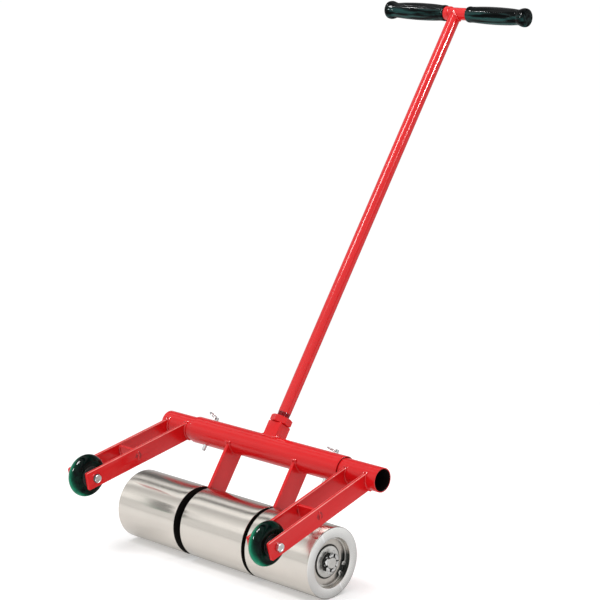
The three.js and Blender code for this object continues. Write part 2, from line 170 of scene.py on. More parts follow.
def solid(name, mesh):
    """A scene object from (vertices, faces), welded and with its normals outward."""
    data = bpy.data.meshes.new(name)
    bm = fill_bmesh(data, *mesh)
    bmesh.ops.remove_doubles(bm, verts=bm.verts, dist=2e-7)
    bmesh.ops.recalc_face_normals(bm, faces=bm.faces)
    if bm.calc_volume(signed=True) < 0:
        bmesh.ops.reverse_faces(bm, faces=bm.faces)
    bm.to_mesh(data)
    bm.free()
    ob = bpy.data.objects.new(name, data)
    scene.collection.objects.link(ob)
    return ob


def shade(ob, angle):
    data = ob.data
    data.polygons.foreach_set("use_smooth", [True] * len(data.polygons))
    data.set_sharp_from_angle(angle=radians(angle))


def piece(name, mesh, material, replaced=None, body="frame", angle=32):
    ob = solid(name, mesh)
    shade(ob, angle)
    ob.data.materials.append(material)
    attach(ob, body)
    if replaced:
        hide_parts(replaced)
    return ob


def carve(ob, cutters, angle=32):
    """Cuts the cutters out of ob for good and removes them."""
    for tool in cutters:
        cut = ob.modifiers.new("cut", "BOOLEAN")
        cut.operation, cut.solver, cut.object = "DIFFERENCE", "EXACT", tool
    bpy.context.view_layer.update()
    graph = bpy.context.evaluated_depsgraph_get()
    data = bpy.data.meshes.new_from_object(ob.evaluated_get(graph), depsgraph=graph)
    uncut = ob.data
    ob.modifiers.clear()
    ob.data = data
    bpy.data.meshes.remove(uncut)
    for tool in cutters:
        bpy.data.objects.remove(tool)
    shade(ob, angle)


# ------------------------------------------------------------------ turned surfaces
def turned(axes, profile, count=96, axis="x", warp=None):
    """Surface of revolution; profile is (radius, height) pairs.

    A profile whose ends meet is a ring, one whose ends lie on the axis is capped.
    warp(radius, height, turn) may move each vertex.
    """
    verts, faces, rings = [], [], []
    closed = profile[0] == profile[-1]
    for r, h in profile[:-1] if closed else profile:
        first = len(verts)
        if r < 1e-9:
            verts.append(axes.point(h, 0, 0) if axis == "x" else axes.point(0, 0, h))
            rings.append([first])
            continue
        for i in range(count):
            turn = 2 * pi * i / count
            radius, height = warp(r, h, turn) if warp else (r, h)
            a, b = radius * cos(turn), radius * sin(turn)
            verts.append(axes.point(height, a, b) if axis == "x" else axes.point(a, b, height))
        rings.append(list(range(first, first + count)))
    for k in range(len(rings) if closed else len(rings) - 1):
        a, b = rings[k], rings[(k + 1) % len(rings)]
        for i in range(count):
            j = (i + 1) % count
            if len(a) == 1:
                faces.append((a[0], b[j], b[i]))
            elif len(b) == 1:
                faces.append((a[i], a[j], b[0]))
            else:
                faces.append((a[i], a[j], b[j], b[i]))
    return verts, faces


def rounded(points, radius, steps=4):
    """Rounds a profile's corners; points are (radius, height[, own fillet])."""
    closed = points[0][:2] == points[-1][:2]
    core = points[:-1] if closed else points
    count = len(core)
    out = []
    for i, point in enumerate(core):
        fillet = point[2] if len(point) > 2 else radius
        corner = Vector(point[:2])
        if not closed and i in (0, count - 1):
            out.append((corner.x, corner.y))
            continue
        back = Vector(core[i - 1][:2]) - corner
        ahead = Vector(core[(i + 1) % count][:2]) - corner
        back_len, ahead_len = back.length, ahead.length
        back, ahead = back / back_len, ahead / ahead_len
        angle = math.acos(max(-1, min(1, back.dot(ahead))))
        if angle > radians(172):                 # as good as straight
            out.append((corner.x, corner.y))
            continue
        trim = min(fillet / math.tan(angle / 2), 0.46 * back_len, 0.46 * ahead_len)
        arc_r = trim * math.tan(angle / 2)
        centre = corner + (back + ahead).normalized() * (arc_r / sin(angle / 2))
        start, end = corner + back * trim - centre, corner + ahead * trim - centre
        a0, a1 = math.atan2(start.y, start.x), math.atan2(end.y, end.x)
        bend = (a1 - a0 + pi) % (2 * pi) - pi
        for k in range(steps + 1):
            a = a0 + bend * k / steps
            out.append((centre.x + arc_r * cos(a), centre.y + arc_r * sin(a)))
    if closed:
        out.append(out[0])
    return out


def ring_section(bore, outer, low, high):
    return [(bore, low), (outer, low), (outer, high), (bore, high), (bore, low)]


def stationed(profile, step):
    """Closed profile with extra stations along its long straights."""
    out = []
    for p, q in zip(profile[:-1], profile[1:]):
        out.append(p)
        length = abs(q[1] - p[1])
        if length > 2 * step:
            k = int(length / step)
            out += [(p[0] + (q[0] - p[0]) * i / k, p[1] + (q[1] - p[1]) * i / k)
                    for i in range(1, k)]
    out.append(out[0])
    return out


def tube_section(bore, outer, low, high, step, rim):
    return stationed(rounded(ring_section(bore, outer, low, high), rim, 3), step)


def spline(points, per):
    """Catmull-Rom curve through profile points, with per steps to a span."""
    knots = [Vector(p) for p in points]
    knots = [knots[0] * 2 - knots[1]] + knots + [knots[-1] * 2 - knots[-2]]
    out = []
    for i in range(1, len(knots) - 2):
        a, b, c, d = knots[i - 1:i + 3]
        for k in range(per):
            t = k / per
            q = 0.5 * ((2 * b) + (c - a) * t + (2 * a - 5 * b + 4 * c - d) * t * t
                       + (3 * b - a - 3 * c + d) * t ** 3)
            out.append((q.x, q.y))
    out.append(tuple(knots[-2]))
    return out


def heights(start, stop, step):
    """Heights from start up to stop, by repeated steps."""
    out = []
    while start < stop:
        out.append(start)
        start += step
    return out


def clamp01(value):
    return max(0.0, min(1.0, value))


def groove(h, turn, pitch):
    """Helical thread form: 1 at one edge of the groove, 0 half a pitch on."""
    return abs(2 * ((h / pitch - turn / (2 * pi)) % 1.0) - 1)


CHAMFER_START = 0.965            # radius of a hexagon's turned face, as a share of its half flats


def hex_warp(flats, turn, low, high):
    """Warp that turns a round profile of corner radius into a hexagon chamfered 30 degrees."""
    corner = flats / math.sqrt(3)
    face = flats / 2 * CHAMFER_START

    def warp(r, h, t):
        if r < flats / 2 * 0.9:
            return r, h
        a = (t - turn) % (pi / 3) - pi / 6
        side_r = flats / 2 / cos(a)
        if r < corner * 0.985:
            return min(side_r, face), h
        drop = max(0.0, side_r - face) * math.tan(radians(30))
        if abs(h - low) < 1e-6:
            return side_r, low + drop
        if abs(h - high) < 1e-6:
            return side_r, high - drop
        return side_r, h
    return warp


def hex_nut(axes, flats, low, high, bore, turn=0.0, axis="x", count=144):
    corner, face = flats / math.sqrt(3), flats / 2 * CHAMFER_START
    profile = [(bore, low + 0.9), (bore + 0.9, low), (face, low), (corner, low), (corner, high),
               (face, high), (bore + 0.9, high), (bore, high - 0.9), (bore, low + 0.9)]
    return turned(axes, profile, count, axis, hex_warp(flats, turn, low, high))


def drill(axes, radius, low, high, count, axis="x"):
    """A round cutter."""
    profile = [(0, low), (radius, low), (radius, high), (0, high)]
    return solid("cutter", turned(axes, profile, count, axis))


def box_cutter(axes, x_range, y_range, z_range):
    verts = [axes.point(x, y, z) for x in x_range for y in y_range for z in z_range]
    return solid("cutter", (verts, [(0, 1, 3, 2), (4, 6, 7, 5), (0, 4, 5, 1),
                                    (2, 3, 7, 6), (0, 2, 6, 4), (1, 5, 7, 3)]))


# ------------------------------------------------------------------ plates, bars and beads
def plate(axes, outline, x0, x1, bevel):
    """A plate in the y-z plane between x0 and x1, its edges rounded by bevel."""
    bm = bmesh.new()
    near = [bm.verts.new(axes.point(x0, y, z)) for y, z in outline]
    far = [bm.verts.new(axes.point(x1, y, z)) for y, z in outline]
    caps = bm.faces.new(near[::-1]), bm.faces.new(far)
    for i in range(len(outline)):
        j = (i + 1) % len(outline)
        bm.faces.new((near[i], near[j], far[j], far[i]))
    bmesh.ops.recalc_face_normals(bm, faces=bm.faces)
    if bevel > 0:
        rims = list({e for cap in caps for e in cap.edges})
        corners = [e for e in bm.edges
                   if e not in rims and e.calc_face_angle(0) > radians(40)]
        bmesh.ops.bevel(bm, geom=rims + corners, offset=bevel * MM, offset_type="OFFSET",
                        segments=2, profile=0.5, affect="EDGES", clamp_overlap=True)
    return drain_bmesh(bm)


def sweep(path, radius, count=12, closed=False):
    """A round bar along points in metres.

    radius is in mm, one number or one per point. Open ends are domed.
    """
    last = len(path) - 1
    radii = [radius] * len(path) if isinstance(radius, (int, float)) else radius
    tangents = []
    for i in range(last + 1):
        if closed:
            tangent = path[(i + 1) % len(path)] - path[i - 1]
        else:
            tangent = path[min(i + 1, last)] - path[max(i - 1, 0)]
        tangents.append(tangent.normalized())
    aside = Vector((0, 0, 1)) if abs(tangents[0].z) < 0.9 else Vector((0, 1, 0))
    normal = tangents[0].cross(aside).normalized()
    crosses = []
    for i, tangent in enumerate(tangents):
        if i:
            normal = tangents[i - 1].rotation_difference(tangent) @ normal
            normal = (normal - tangent * normal.dot(tangent)).normalized()
        crosses.append((normal.copy(), tangent.cross(normal).normalized()))
    twist = 0.0                  # taken out evenly along a closed path
    if closed:
        arrived = tangents[-1].rotation_difference(tangents[0]) @ crosses[-1][0]
        twist = math.atan2(arrived.dot(crosses[0][1]), arrived.dot(crosses[0][0]))
    verts, faces, rings = [], [], []

    def add_ring(i, centre, ring_r, offset=0):
        a, b = crosses[i]
        first = len(verts)
        for k in range(count):
            t = 2 * pi * k / count - offset
            verts.append(centre + (a * cos(t) + b * sin(t)) * ring_r * MM)
        return list(range(first, first + count))

    def join(a, b):
        for k in range(count):
            j = (k + 1) % count
            faces.append((a[k], a[j], b[j], b[k]))

    for i, centre in enumerate(path):
        offset = twist * i / len(path) if closed else 0
        rings.append(add_ring(i, centre, radii[i], offset))
    for i in range(len(path) if closed else last):
        join(rings[i], rings[(i + 1) % len(path)])
    if not closed:
        for i, sign in ((0, -1), (last, 1)):
            previous = rings[i]
            for share in (0.5, 0.8):
                centre = path[i] + tangents[i] * sign * (radii[i] * share) * MM
                ring = add_ring(i, centre, radii[i] * sqrt(1 - share * share))
                join(previous, ring)
                previous = ring
            verts.append(path[i] + tangents[i] * sign * radii[i] * MM)
            tip = len(verts) - 1
            for k in range(count):
                faces.append((previous[k], previous[(k + 1) % count], tip))
    return verts, faces


def polyline(points, step):
    """Points about every step mm along straight runs between points in metres."""
    out = [points[0].copy()]
    for a, b in zip(points[:-1], points[1:]):
        count = max(1, int(round((b - a).length / MM / step)))
        out += [a.lerp(b, i / count) for i in range(1, count + 1)]
    return out


BEAD_STEP = 0.55


def bead(name, points, radius, seed, closed=False, ripple=2.4, jitter=0.35):
    """A weld bead: overlapping crescents every ripple mm along a path."""
    path = polyline(points + ([points[0]] if closed else []), BEAD_STEP)
    if closed:
        path = path[:-1]
    radii, moved = [], []
    for i, point in enumerate(path):
        s = i * BEAD_STEP
        phase = (s / ripple + 0.35 * noise.noise(Vector((s * 0.11, seed, 0)))) % 1.0
        crescent = 0.84 + 0.20 * sqrt(max(0.0, 1 - (2 * phase - 1) ** 2))
        lump = 1 + 0.16 * noise.noise(Vector((s * 0.16, seed + 7.1, 3)))
        radii.append(radius * crescent * lump)
        shift = Vector([noise.noise(Vector((s * 0.2, seed, row))) for row in (11, 22, 33)])
        moved.append(point + shift * (jitter * MM))
    piece(name, sweep(moved, radii, closed=closed), RED_WELD, angle=60)


# ------------------------------------------------------------------ shader graphs
FALL = (1.0, 0.0)                # a ramp that fades out


class Graph:
    """Node-building helpers; inputs take a number, a colour or another node's output."""

    def __init__(self, owner, output):
        owner.use_nodes = True
        self.tree = owner.node_tree
        self.tree.nodes.clear()
        self.output = self.node(output)

    def feed(self, socket, value):
        if isinstance(value, bpy.types.NodeSocket):
            self.tree.links.new(value, socket)
        elif socket.type == "RGBA":
            socket.default_value = (*value, 1)
        else:
            socket.default_value = value

    def node(self, kind, inputs=None, **settings):
        made = self.tree.nodes.new("ShaderNode" + kind)
        for key, value in settings.items():
            setattr(made, key, value)
        for key, value in (inputs or {}).items():
            self.feed(made.inputs[key], value)
        return made

    def math(self, operation, *values):
        return self.node("Math", dict(enumerate(values)), operation=operation).outputs[0]

    def times(self, a, b):
        return self.math("MULTIPLY", a, b)

    def linear(self, value, gain, plus):
        return self.math("MULTIPLY_ADD", value, gain, plus)

    def blend(self, factor, a, b):
        return self.node("MixShader", {0: factor, 1: a, 2: b}).outputs[0]

    def heading(self, a, b):
        """atan2(a, b) as 0 to 1, with 0.5 for zero."""
        return self.linear(self.math("ARCTAN2", a, b), gain=1 / (2 * pi), plus=0.5)

    def angle_ramp(self, factor, table):
        """Grey ramp over a heading; table rows are (degrees, value), both ends first."""
        ramp = self.node("ValToRGB")
        elements = ramp.color_ramp.elements
        for i, (degrees, value) in enumerate(table):
            position = 0.5 + degrees / 360.0
            element = elements[i] if i < 2 else elements.new(position)
            element.position, element.color = position, (value, value, value, 1)
        self.feed(ramp.inputs[0], factor)
        return ramp.outputs[0]


class Material(Graph):
    """A material round one Principled shader, textured in object coordinates."""

    def __init__(self, name):
        self.material = bpy.data.materials.new(name)
        super().__init__(self.material, "OutputMaterial")
        self.shader = self.node("BsdfPrincipled")
        self.feed(self.output.inputs[0], self.shader.outputs[0])
        self.coord = self.node("TexCoord").outputs["Object"]

    def put(self, values):
        for key, value in values.items():
            self.feed(self.shader.inputs[key], value)

    def noise(self, scale=1.0, detail=4.0, rough=0.5, warp=0.0, stretch=(1, 1, 1)):
        mapping = self.node("Mapping", {"Scale": stretch, "Vector": self.coord})
        return self.node("TexNoise", {
            "Scale": scale, "Detail": detail, "Roughness": rough, "Distortion": warp,
            "Vector": mapping.outputs[0]}).outputs["Fac"]

    def ramp(self, value, over, to=(0.0, 1.0)):
        return self.node("MapRange", {
            "From Min": over[0], "From Max": over[1], "To Min": to[0], "To Max": to[1],
            "Value": value}, clamp=True).outputs[0]

    def mix(self, factor, a, b, mode="MIX"):
        return self.node("Mix", {0: factor, 6: a, 7: b},
                         data_type="RGBA", blend_type=mode).outputs[2]

    def bump(self, height, strength, distance, under=None):
        made = self.node("Bump", {"Strength": strength, "Distance": distance, "Height": height})
        if under is not None:
            self.feed(made.inputs["Normal"], under)
        return made.outputs[0]

    def dot(self, a, b):
        return self.node("VectorMath", {0: a, 1: b}, operation="DOT_PRODUCT").outputs["Value"]

    def normal(self):
        return self.node("NewGeometry").outputs["Normal"]

    def edge(self, radius):
        """Near 1 on an outer edge, 0 on flats."""
        bevel = self.node("Bevel", {"Radius": radius}, samples=4)
        return self.math("SUBTRACT", 1.0, self.dot(bevel.outputs[0], self.normal()))

    def along(self, origin, direction):
        """Distance in metres from origin, measured along direction."""
        direction = Vector(direction)
        return self.math("SUBTRACT", self.dot(self.coord, tuple(direction)),
                         Vector(origin).dot(direction))

    def radius(self, origin):
        """Distance in metres from a line parallel to X through origin."""
        y, z = self.along(origin, (0, 1, 0)), self.along(origin, (0, 0, 1))
        return self.math("SQRT", self.math("ADD", self.times(y, y), self.times(z, z)))

    def toward(self, direction):
        """Cosine between the surface normal and direction."""
        return self.dot(self.normal(), tuple(Vector(direction).normalized()))

    def band(self, value, rise, fall, height=1.0):
        return self.times(self.ramp(value, rise), self.ramp(value, fall, (height, 0.0)))


# ------------------------------------------------------------------ materials
PAINT, PAINT_DARK = (0.70, 0.0075, 0.0095), (0.65, 0.0065, 0.0085)
PAINT_SPECULAR, PAINTED_SHADE_SPECULAR = 0.36, 0.06


def painted_highlight_mask(m, origin, upward, centres, half, top):
    """Painted highlight: broken pale lines on the upper corners of bars centred at the given x.
    """
    high = m.ramp(m.along(origin, upward), over=((top - 1.2) * MM, (top - 0.75) * MM))
    lines = 0.0
    for x in centres:
        off = m.math("ABSOLUTE", m.along((x, 0, 0), (1, 0, 0)))
        line = m.band(off, rise=((half - 1.25) * MM, (half - 0.8) * MM),
                      fall=((half + 0.2) * MM, (half + 0.4) * MM))
        lines = m.math("MAXIMUM", line, lines)
    broken = m.ramp(m.noise(scale=30.0, detail=3.0), over=(0.30, 0.60), to=(0.35, 1.0))
    return m.times(m.times(high, lines), m.times(broken, 0.8))


def red_paint(name, worn=True, gloss=0.0, bore=None, thread=None, painted_gap_shade=None, scorch=None,
              ridge=None):
    """Red gloss paint.

    bore and painted_gap_shade are radii in mm (round the tube, round the axle) inside which it
    turns dark as painted shade;
    thread is a (low, high) span up the handle; scorch is a point; ridge feeds
    painted_highlight_mask, a painted highlight.
    """
    m = Material(name)
    cloud = m.noise(scale=9.0, detail=3.0, rough=0.6)
    fine = m.noise(scale=160.0, detail=3.0, rough=0.6)
    colour = m.mix(m.ramp(cloud, over=(0.35, 0.68)), PAINT, PAINT_DARK)
    colour = m.mix(m.ramp(fine, over=(0.55, 0.75), to=(0.0, 0.10)),
                   colour, tuple(c * 0.6 for c in PAINT_DARK))
    specular = PAINT_SPECULAR
    if worn:                                  # spots along the edges
        edge = m.edge(radius=0.0006)
        spots = m.noise(scale=75.0, detail=5.0, rough=0.65)
        mask = m.times(m.ramp(edge, over=(0.08, 0.35)), m.ramp(spots, over=(0.60, 0.70)))
        colour = m.mix(m.times(mask, 0.35), colour, (0.42, 0.06, 0.06))
    if thread:                                # darker over the thread span
        low, high = thread[0] * MM, thread[1] * MM
        mask = m.band(m.along(TUBE, UP), rise=(low - 0.0004, low), fall=(high - 0.0006, high))
        colour = m.mix(m.times(mask, 0.72), colour, (0.09, 0.008, 0.014))
    if bore:                                  # painted shade: near black inside the bore
        mask = m.ramp(m.radius(TUBE), over=((bore - 0.2) * MM, (bore + 0.2) * MM), to=FALL)
        colour = m.mix(mask, colour, (0.010, 0.007, 0.007))
        specular = m.ramp(mask, over=(0.0, 1.0), to=(PAINT_SPECULAR, PAINTED_SHADE_SPECULAR))
    if scorch:                                # ragged dark ring round the plug weld
        ragged = m.ramp(m.noise(scale=240.0, detail=3.0), over=(0.3, 0.7), to=(-1.0, 1.0))
        distance = m.math("ADD", m.radius(scorch), m.times(ragged, 0.0016))
        mask = m.band(distance, rise=(0.0014, 0.0026), fall=(0.0050, 0.0072), height=0.62)
        colour = m.mix(mask, colour, (0.10, 0.006, 0.010))
    if ridge:                                 # painted highlight: a pale line along the bars' top edges
        colour = m.mix(painted_highlight_mask(m, *ridge), colour, (0.95, 0.36, 0.33))
    if painted_gap_shade:                                 # painted shade: the legs go near black between the roller ends
        mask = m.ramp(m.radius(AXLE), over=((painted_gap_shade - 0.8) * MM, painted_gap_shade * MM), to=(0.95, 0.0))
        colour = m.mix(mask, colour, (0.012, 0.009, 0.008))
        specular = m.ramp(mask, over=(0.0, 1.0), to=(PAINT_SPECULAR, PAINTED_SHADE_SPECULAR))
    m.put({
        "Base Color": colour,
        "Roughness": m.ramp(m.noise(scale=55.0, detail=3.0), over=(0.3, 0.7),
                            to=(0.20 - 0.09 * gloss, 0.27 - 0.12 * gloss)),
        "Coat Weight": 0.06 + 0.3 * gloss,
        "Coat Roughness": m.ramp(fine, over=(0.3, 0.7), to=(0.05, 0.12)),
        "Specular IOR Level": specular})
    peel = m.noise(scale=330.0, detail=2.0)
    wave = m.noise(scale=60.0, detail=2.0)
    normal = m.bump(peel, strength=0.10, distance=0.0002)
    normal = m.bump(wave, strength=0.035, distance=0.0010, under=normal)
    m.put({"Normal": normal, "Coat Normal": normal})
    return m.material


def inside_pocket(m, pocket):
    return m.ramp(m.radius(AXLE), over=((pocket - 0.1) * MM, (pocket + 0.25) * MM), to=FALL)


def pocket_colour(m, colour, pocket):
    """Colours of the pocket in a roller's end and of the turned face round it, with painted
    shade, a painted shadow, painted light and a painted highlight.
    """
    # painted shade: a little darker inside the pocket
    colour = m.mix(m.times(inside_pocket(m, pocket), 0.20), colour, (0.20, 0.19, 0.175))
    # painted shadow: a black ring on the pocket floor round the washer
    ring = m.times(m.ramp(m.radius(AXLE), over=(0.0244, 0.0248)),
                   m.ramp(m.radius(AXLE), over=(0.0270, 0.0282), to=FALL))
    colour = m.mix(ring, colour, (0.010, 0.010, 0.010))
    # painted light: the turned end face round the pocket is made lighter
    face = m.ramp(m.math("ABSOLUTE", m.toward((1, 0, 0))), over=(0.8, 0.95))
    face = m.times(face, m.ramp(m.radius(AXLE), over=(pocket * MM, (pocket + 0.3) * MM)))
    colour = m.mix(face, colour, (0.86, 0.86, 0.84))
    # painted highlight: the turned face flashes along one diameter
    across = m.math("DIVIDE", m.math("ABSOLUTE", m.along(AXLE, (0, 0.90, 0.43))),
                    m.radius(AXLE))
    painted_highlight_streak = m.times(face, m.ramp(across, over=(0.012, 0.06), to=(0.9, 0.0)))
    colour = m.mix(painted_highlight_streak, colour, (1.0, 1.0, 1.0))
    # a black patch low on the pocket wall
    low = m.math("DIVIDE", m.along(AXLE, (0, 0.93, -0.37)), m.radius(AXLE))
    dark_patch = m.times(m.ramp(low, over=(0.74, 0.90)),
                    m.ramp(m.radius(AXLE), over=(0.0300, 0.0330)))
    dark_patch = m.times(dark_patch, m.ramp(m.radius(AXLE), over=(0.0400, 0.0402), to=FALL))
    return m.mix(m.times(dark_patch, 0.93), colour, (0.010, 0.018, 0.018))


def turned_steel(name, base, rough, spread, shadow, aniso, grain, pocket=None):
    """Turned metal: fine grooves round the X axis, sheen drawn out along it."""
    m = Material(name)
    streak = m.noise(detail=5.0, rough=0.65, stretch=(grain, 14, 14))
    broad = m.noise(detail=3.0, rough=0.55, stretch=(22, 30, 30))
    lengthwise = m.noise(detail=4.0, rough=0.6, stretch=(3, 60, 60))
    tone = m.linear(lengthwise, gain=0.5, plus=m.times(broad, 0.5))
    colour = m.mix(m.ramp(tone, over=(0.36, 0.64)), base, tuple(c * shadow for c in base))
    if pocket:
        colour = pocket_colour(m, colour, pocket)
    m.put({"Base Color": colour, "Metallic": 1.0})
    smooth = m.ramp(tone, over=(0.35, 0.65), to=(rough - spread, rough + spread))
    roughness = m.linear(streak, gain=0.08, plus=smooth)
    if pocket:                                # bored, not polished
        inside = inside_pocket(m, pocket)
        roughness = m.linear(inside, gain=0.20, plus=roughness)
        aniso = m.linear(inside, gain=-0.75 * aniso, plus=aniso)
        m.put({"Metallic": m.linear(inside, gain=-0.55, plus=1.0)})
    tangent = m.node("Tangent", direction_type="RADIAL", axis="X")
    normal = m.bump(streak, strength=0.12, distance=0.00005)
    m.put({
        "Roughness": roughness,
        "Anisotropic": aniso,
        "Anisotropic Rotation": 0.25,
        "Tangent": tangent.outputs[0],
        "Normal": m.bump(broad, strength=0.02, distance=0.0005, under=normal)})
    return m.material


def plain_metal(name, base, rough, scale=60.0, dirt=(0.12, 0.11, 0.10), amount=0.35, side=None):
    m = Material(name)
    patches = m.noise(scale=scale, detail=5.0, rough=0.6)
    grain = m.noise(scale=scale * 5, detail=4.0, rough=0.6)
    colour = m.mix(m.ramp(patches, over=(0.42, 0.72), to=(0.0, amount)), base, dirt)
    if side:                                  # painted shade: flats and slots go near black, end faces stay bright
        facing = m.math("ABSOLUTE", m.toward((1, 0, 0)))
        colour = m.mix(m.ramp(facing, over=(0.35, 0.8), to=FALL), colour, side)
    m.put({
        "Base Color": colour,
        "Metallic": 1.0,
        "Roughness": m.linear(patches, gain=0.25, plus=rough - 0.1),
        "Normal": m.bump(grain, strength=0.14, distance=0.00012)})
    return m.material


def tyre_material():
    """Dark green urethane with a painted green glow on its rims that face left, forward and down.
    """
    m = Material("urethane_green")
    facing = m.node("LayerWeight", {"Blend": 0.35}).outputs["Facing"]
    swirl = m.noise(scale=60.0, detail=4.0, rough=0.6, warp=0.8)
    # painted light: a green glow on the rims facing left, forward and down
    low = m.ramp(m.toward((-0.80, -0.30, -0.52)), over=(-0.40, 0.22))
    rim = m.times(m.ramp(facing, over=(0.02, 0.26)), low)
    lit = m.times(rim, m.ramp(swirl, over=(0.30, 0.62), to=(0.45, 1.0)))
    deep = m.mix(m.ramp(swirl, over=(0.44, 0.68)),
                 (0.0006, 0.0035, 0.0030), (0.0012, 0.022, 0.013))
    m.put({
        "Base Color": m.mix(lit, deep, (0.004, 0.25, 0.130)),
        "Roughness": m.ramp(m.noise(scale=120.0, detail=3.0), over=(0.3, 0.7), to=(0.07, 0.13)),
        "Specular IOR Level": 0.10})
    scuff = m.noise(scale=420.0, detail=3.0, rough=0.6)
    m.put({"Normal": m.bump(scuff, strength=0.04, distance=0.0002)})
    return m.material


def hub_material():
    m = Material("hub_black")
    grain = m.noise(scale=700.0, detail=4.0, rough=0.6)
    cloud = m.noise(scale=84.0, detail=3.0)
    m.put({
        "Base Color": m.mix(m.ramp(cloud, over=(0.35, 0.65)),
                            (0.006, 0.008, 0.008), (0.012, 0.015, 0.014)),
        "Roughness": m.ramp(cloud, over=(0.3, 0.7), to=(0.28, 0.45)),
        "Coat Roughness": 0.08,
        "Normal": m.bump(grain, strength=0.25, distance=0.0002)})
    return m.material


def grip_material():
    """Black vinyl: lengthwise drag marks, with a sea-green reflection painted along them on the
    underside.
    """
    m = Material("grip_vinyl")
    drag = m.noise(detail=4.0, rough=0.55, stretch=(14, 150, 150))
    # painted reflection: the drag marks turn sea-green on the underside
    under = m.ramp(m.toward((0.15, -0.6, -0.8)), over=(0.0, 0.7))
    marks = m.times(m.ramp(drag, over=(0.47, 0.58)), under)
    m.put({
        "Base Color": m.mix(marks, (0.0010, 0.0018, 0.0020), (0.012, 0.060, 0.056)),
        "Roughness": m.ramp(drag, over=(0.3, 0.7), to=(0.10, 0.20)),
        "Specular IOR Level": m.ramp(drag, over=(0.35, 0.65), to=(0.03, 0.16))})
    fine = m.noise(detail=3.0, rough=0.6, stretch=(60, 500, 500))
    normal = m.bump(drag, strength=0.25, distance=0.0008)
    m.put({"Normal": m.bump(fine, strength=0.08, distance=0.0002, under=normal)})
    return m.material


RED = red_paint("paint_frame")
# bore radii: painted shade inside the cross tube and the carriage tubes
RED_TUBE = red_paint("paint_cross_tube", bore=21.2)
RED_SLIDE = red_paint("paint_carriage_tube", bore=18.1)
# painted shade on the legs near the axle, between the roller ends
RED_LEG = red_paint("paint_legs", painted_gap_shade=57.0)
RED_WELD = red_paint("paint_welds", worn=False, gloss=1.0)
RED_HANDLE = red_paint("paint_handle", worn=False, gloss=0.8)
RED_PIPE = red_paint("paint_handle_pipe", worn=False, gloss=0.8, thread=(56.8, 65.3))
ROLLER_STEEL = turned_steel("steel_roller", base=(0.745, 0.70, 0.64), rough=0.14, spread=0.012,
                            shadow=0.95, aniso=1.0, grain=1300.0, pocket=POCKET_R - 0.1)
AXLE_STEEL = turned_steel("steel_axle_parts", base=(0.78, 0.77, 0.74), rough=0.30, spread=0.04,
                          shadow=0.88, aniso=0.55, grain=900.0)
ZINC = plain_metal("zinc_plate", base=(0.74, 0.75, 0.75), rough=0.27)
# the nut's dark flats and slots are painted shade
NUT_ZINC = plain_metal("zinc_axle_nut", base=(0.80, 0.80, 0.79), rough=0.27,
                       side=(0.03, 0.03, 0.03))
SHIELD = plain_metal("bearing_shield", base=(0.30, 0.30, 0.31), rough=0.35, scale=90.0)
# painted shade: near-black steel for the roller ends that face each other across the gaps
SHADED_GAP_STEEL = plain_metal("steel_inner_face", base=(0.05, 0.048, 0.045), rough=0.55, scale=30.0,
                      dirt=(0.02, 0.018, 0.016), amount=0.8)
TYRE = tyre_material()
HUB = hub_material()
GRIP = grip_material()

# ------------------------------------------------------------------ the yoke
SADDLE_R = TUBE_R - 0.15         # parts sunk a little into the cross tube


def swing(angle, steps):
    """Angles from angle down to -angle."""
    return [angle * (1 - 2 * i / steps) for i in range(steps + 1)]


def cross_tube():
    section = tube_section(TUBE_BORE, TUBE_R, -TUBE_HALF, TUBE_HALF, step=10.0, rim=0.45)
    ob = piece("cross_tube_body", turned(TUBE_AXES, section, 112),
               RED_TUBE, "cross_tube")
    carve(ob, [drill(TUBE_AXES.moved(x, 0, 0), PIN_HOLE_R, -30, 30, 32, "z")
               for x in (-PIN_X, PIN_X)])


def leg(side, x):
    """Flat bar: round end at the axle, coped onto the cross tube."""
    outline = [(-LEG_HALF, 0.0)]
    outline += [(LEG_HALF * cos(a), LEG_HALF * sin(a))
                for a in [pi + pi * i / 24 for i in range(1, 24)]]
    outline += [(LEG_HALF, 0.0)]
    outline += [(SADDLE_R * sin(a), TUBE_OVER_AXLE - SADDLE_R * cos(a))
                for a in swing(math.asin(LEG_HALF / SADDLE_R), 24)]
    mesh = plate(LEG_AXES, outline, x - LEG_THICK / 2, x + LEG_THICK / 2, bevel=0.7)
    ob = piece(side + "_leg_bar", mesh, RED_LEG, side + "_leg", angle=35)
    carve(ob, [drill(LEG_AXES.moved(x, 0, 0), 9.8, -10, 10, 48)], 35)


NUT_BORE = 10.9


def handle_boss():
    """Square block saddled onto the cross tube and bored for the pipe."""
    corner_r = 1.3
    section = []
    for x_sign, y_sign, start in ((1, 1, 0), (-1, 1, 90), (-1, -1, 180), (1, -1, 270)):
        for k in range(5):
            a = radians(start + 22.5 * k)
            section.append((x_sign * (BOSS_HALF - corner_r) + corner_r * cos(a),
                            y_sign * (BOSS_HALF - corner_r) + corner_r * sin(a)))
    # height, share of the full section
    levels = ((4.0, 1.0), (BOSS_TOP - 1.2, 1.0), (BOSS_TOP - 0.35, 0.968), (BOSS_TOP, 0.925))
    verts = [TUBE_AXES.point(x * share, y * share, z)
             for z, share in levels for x, y in section]
    count = len(section)
    faces = []
    for base in range(0, 3 * count, count):
        for i in range(count):
            j = (i + 1) % count
            faces.append((base + i, base + j, base + count + j, base + count + i))
    faces.append(tuple(range(count))[::-1])
    faces.append(tuple(range(3 * count, 4 * count)))
    ob = piece("handle_boss_block", (verts, faces), RED, "handle_boss", angle=40)
    carve(ob, [drill(TUBE_AXES, SADDLE_R, -40, 40, 112),
               drill(TUBE_AXES, NUT_BORE, 26, 80, 64, "z")], 40)


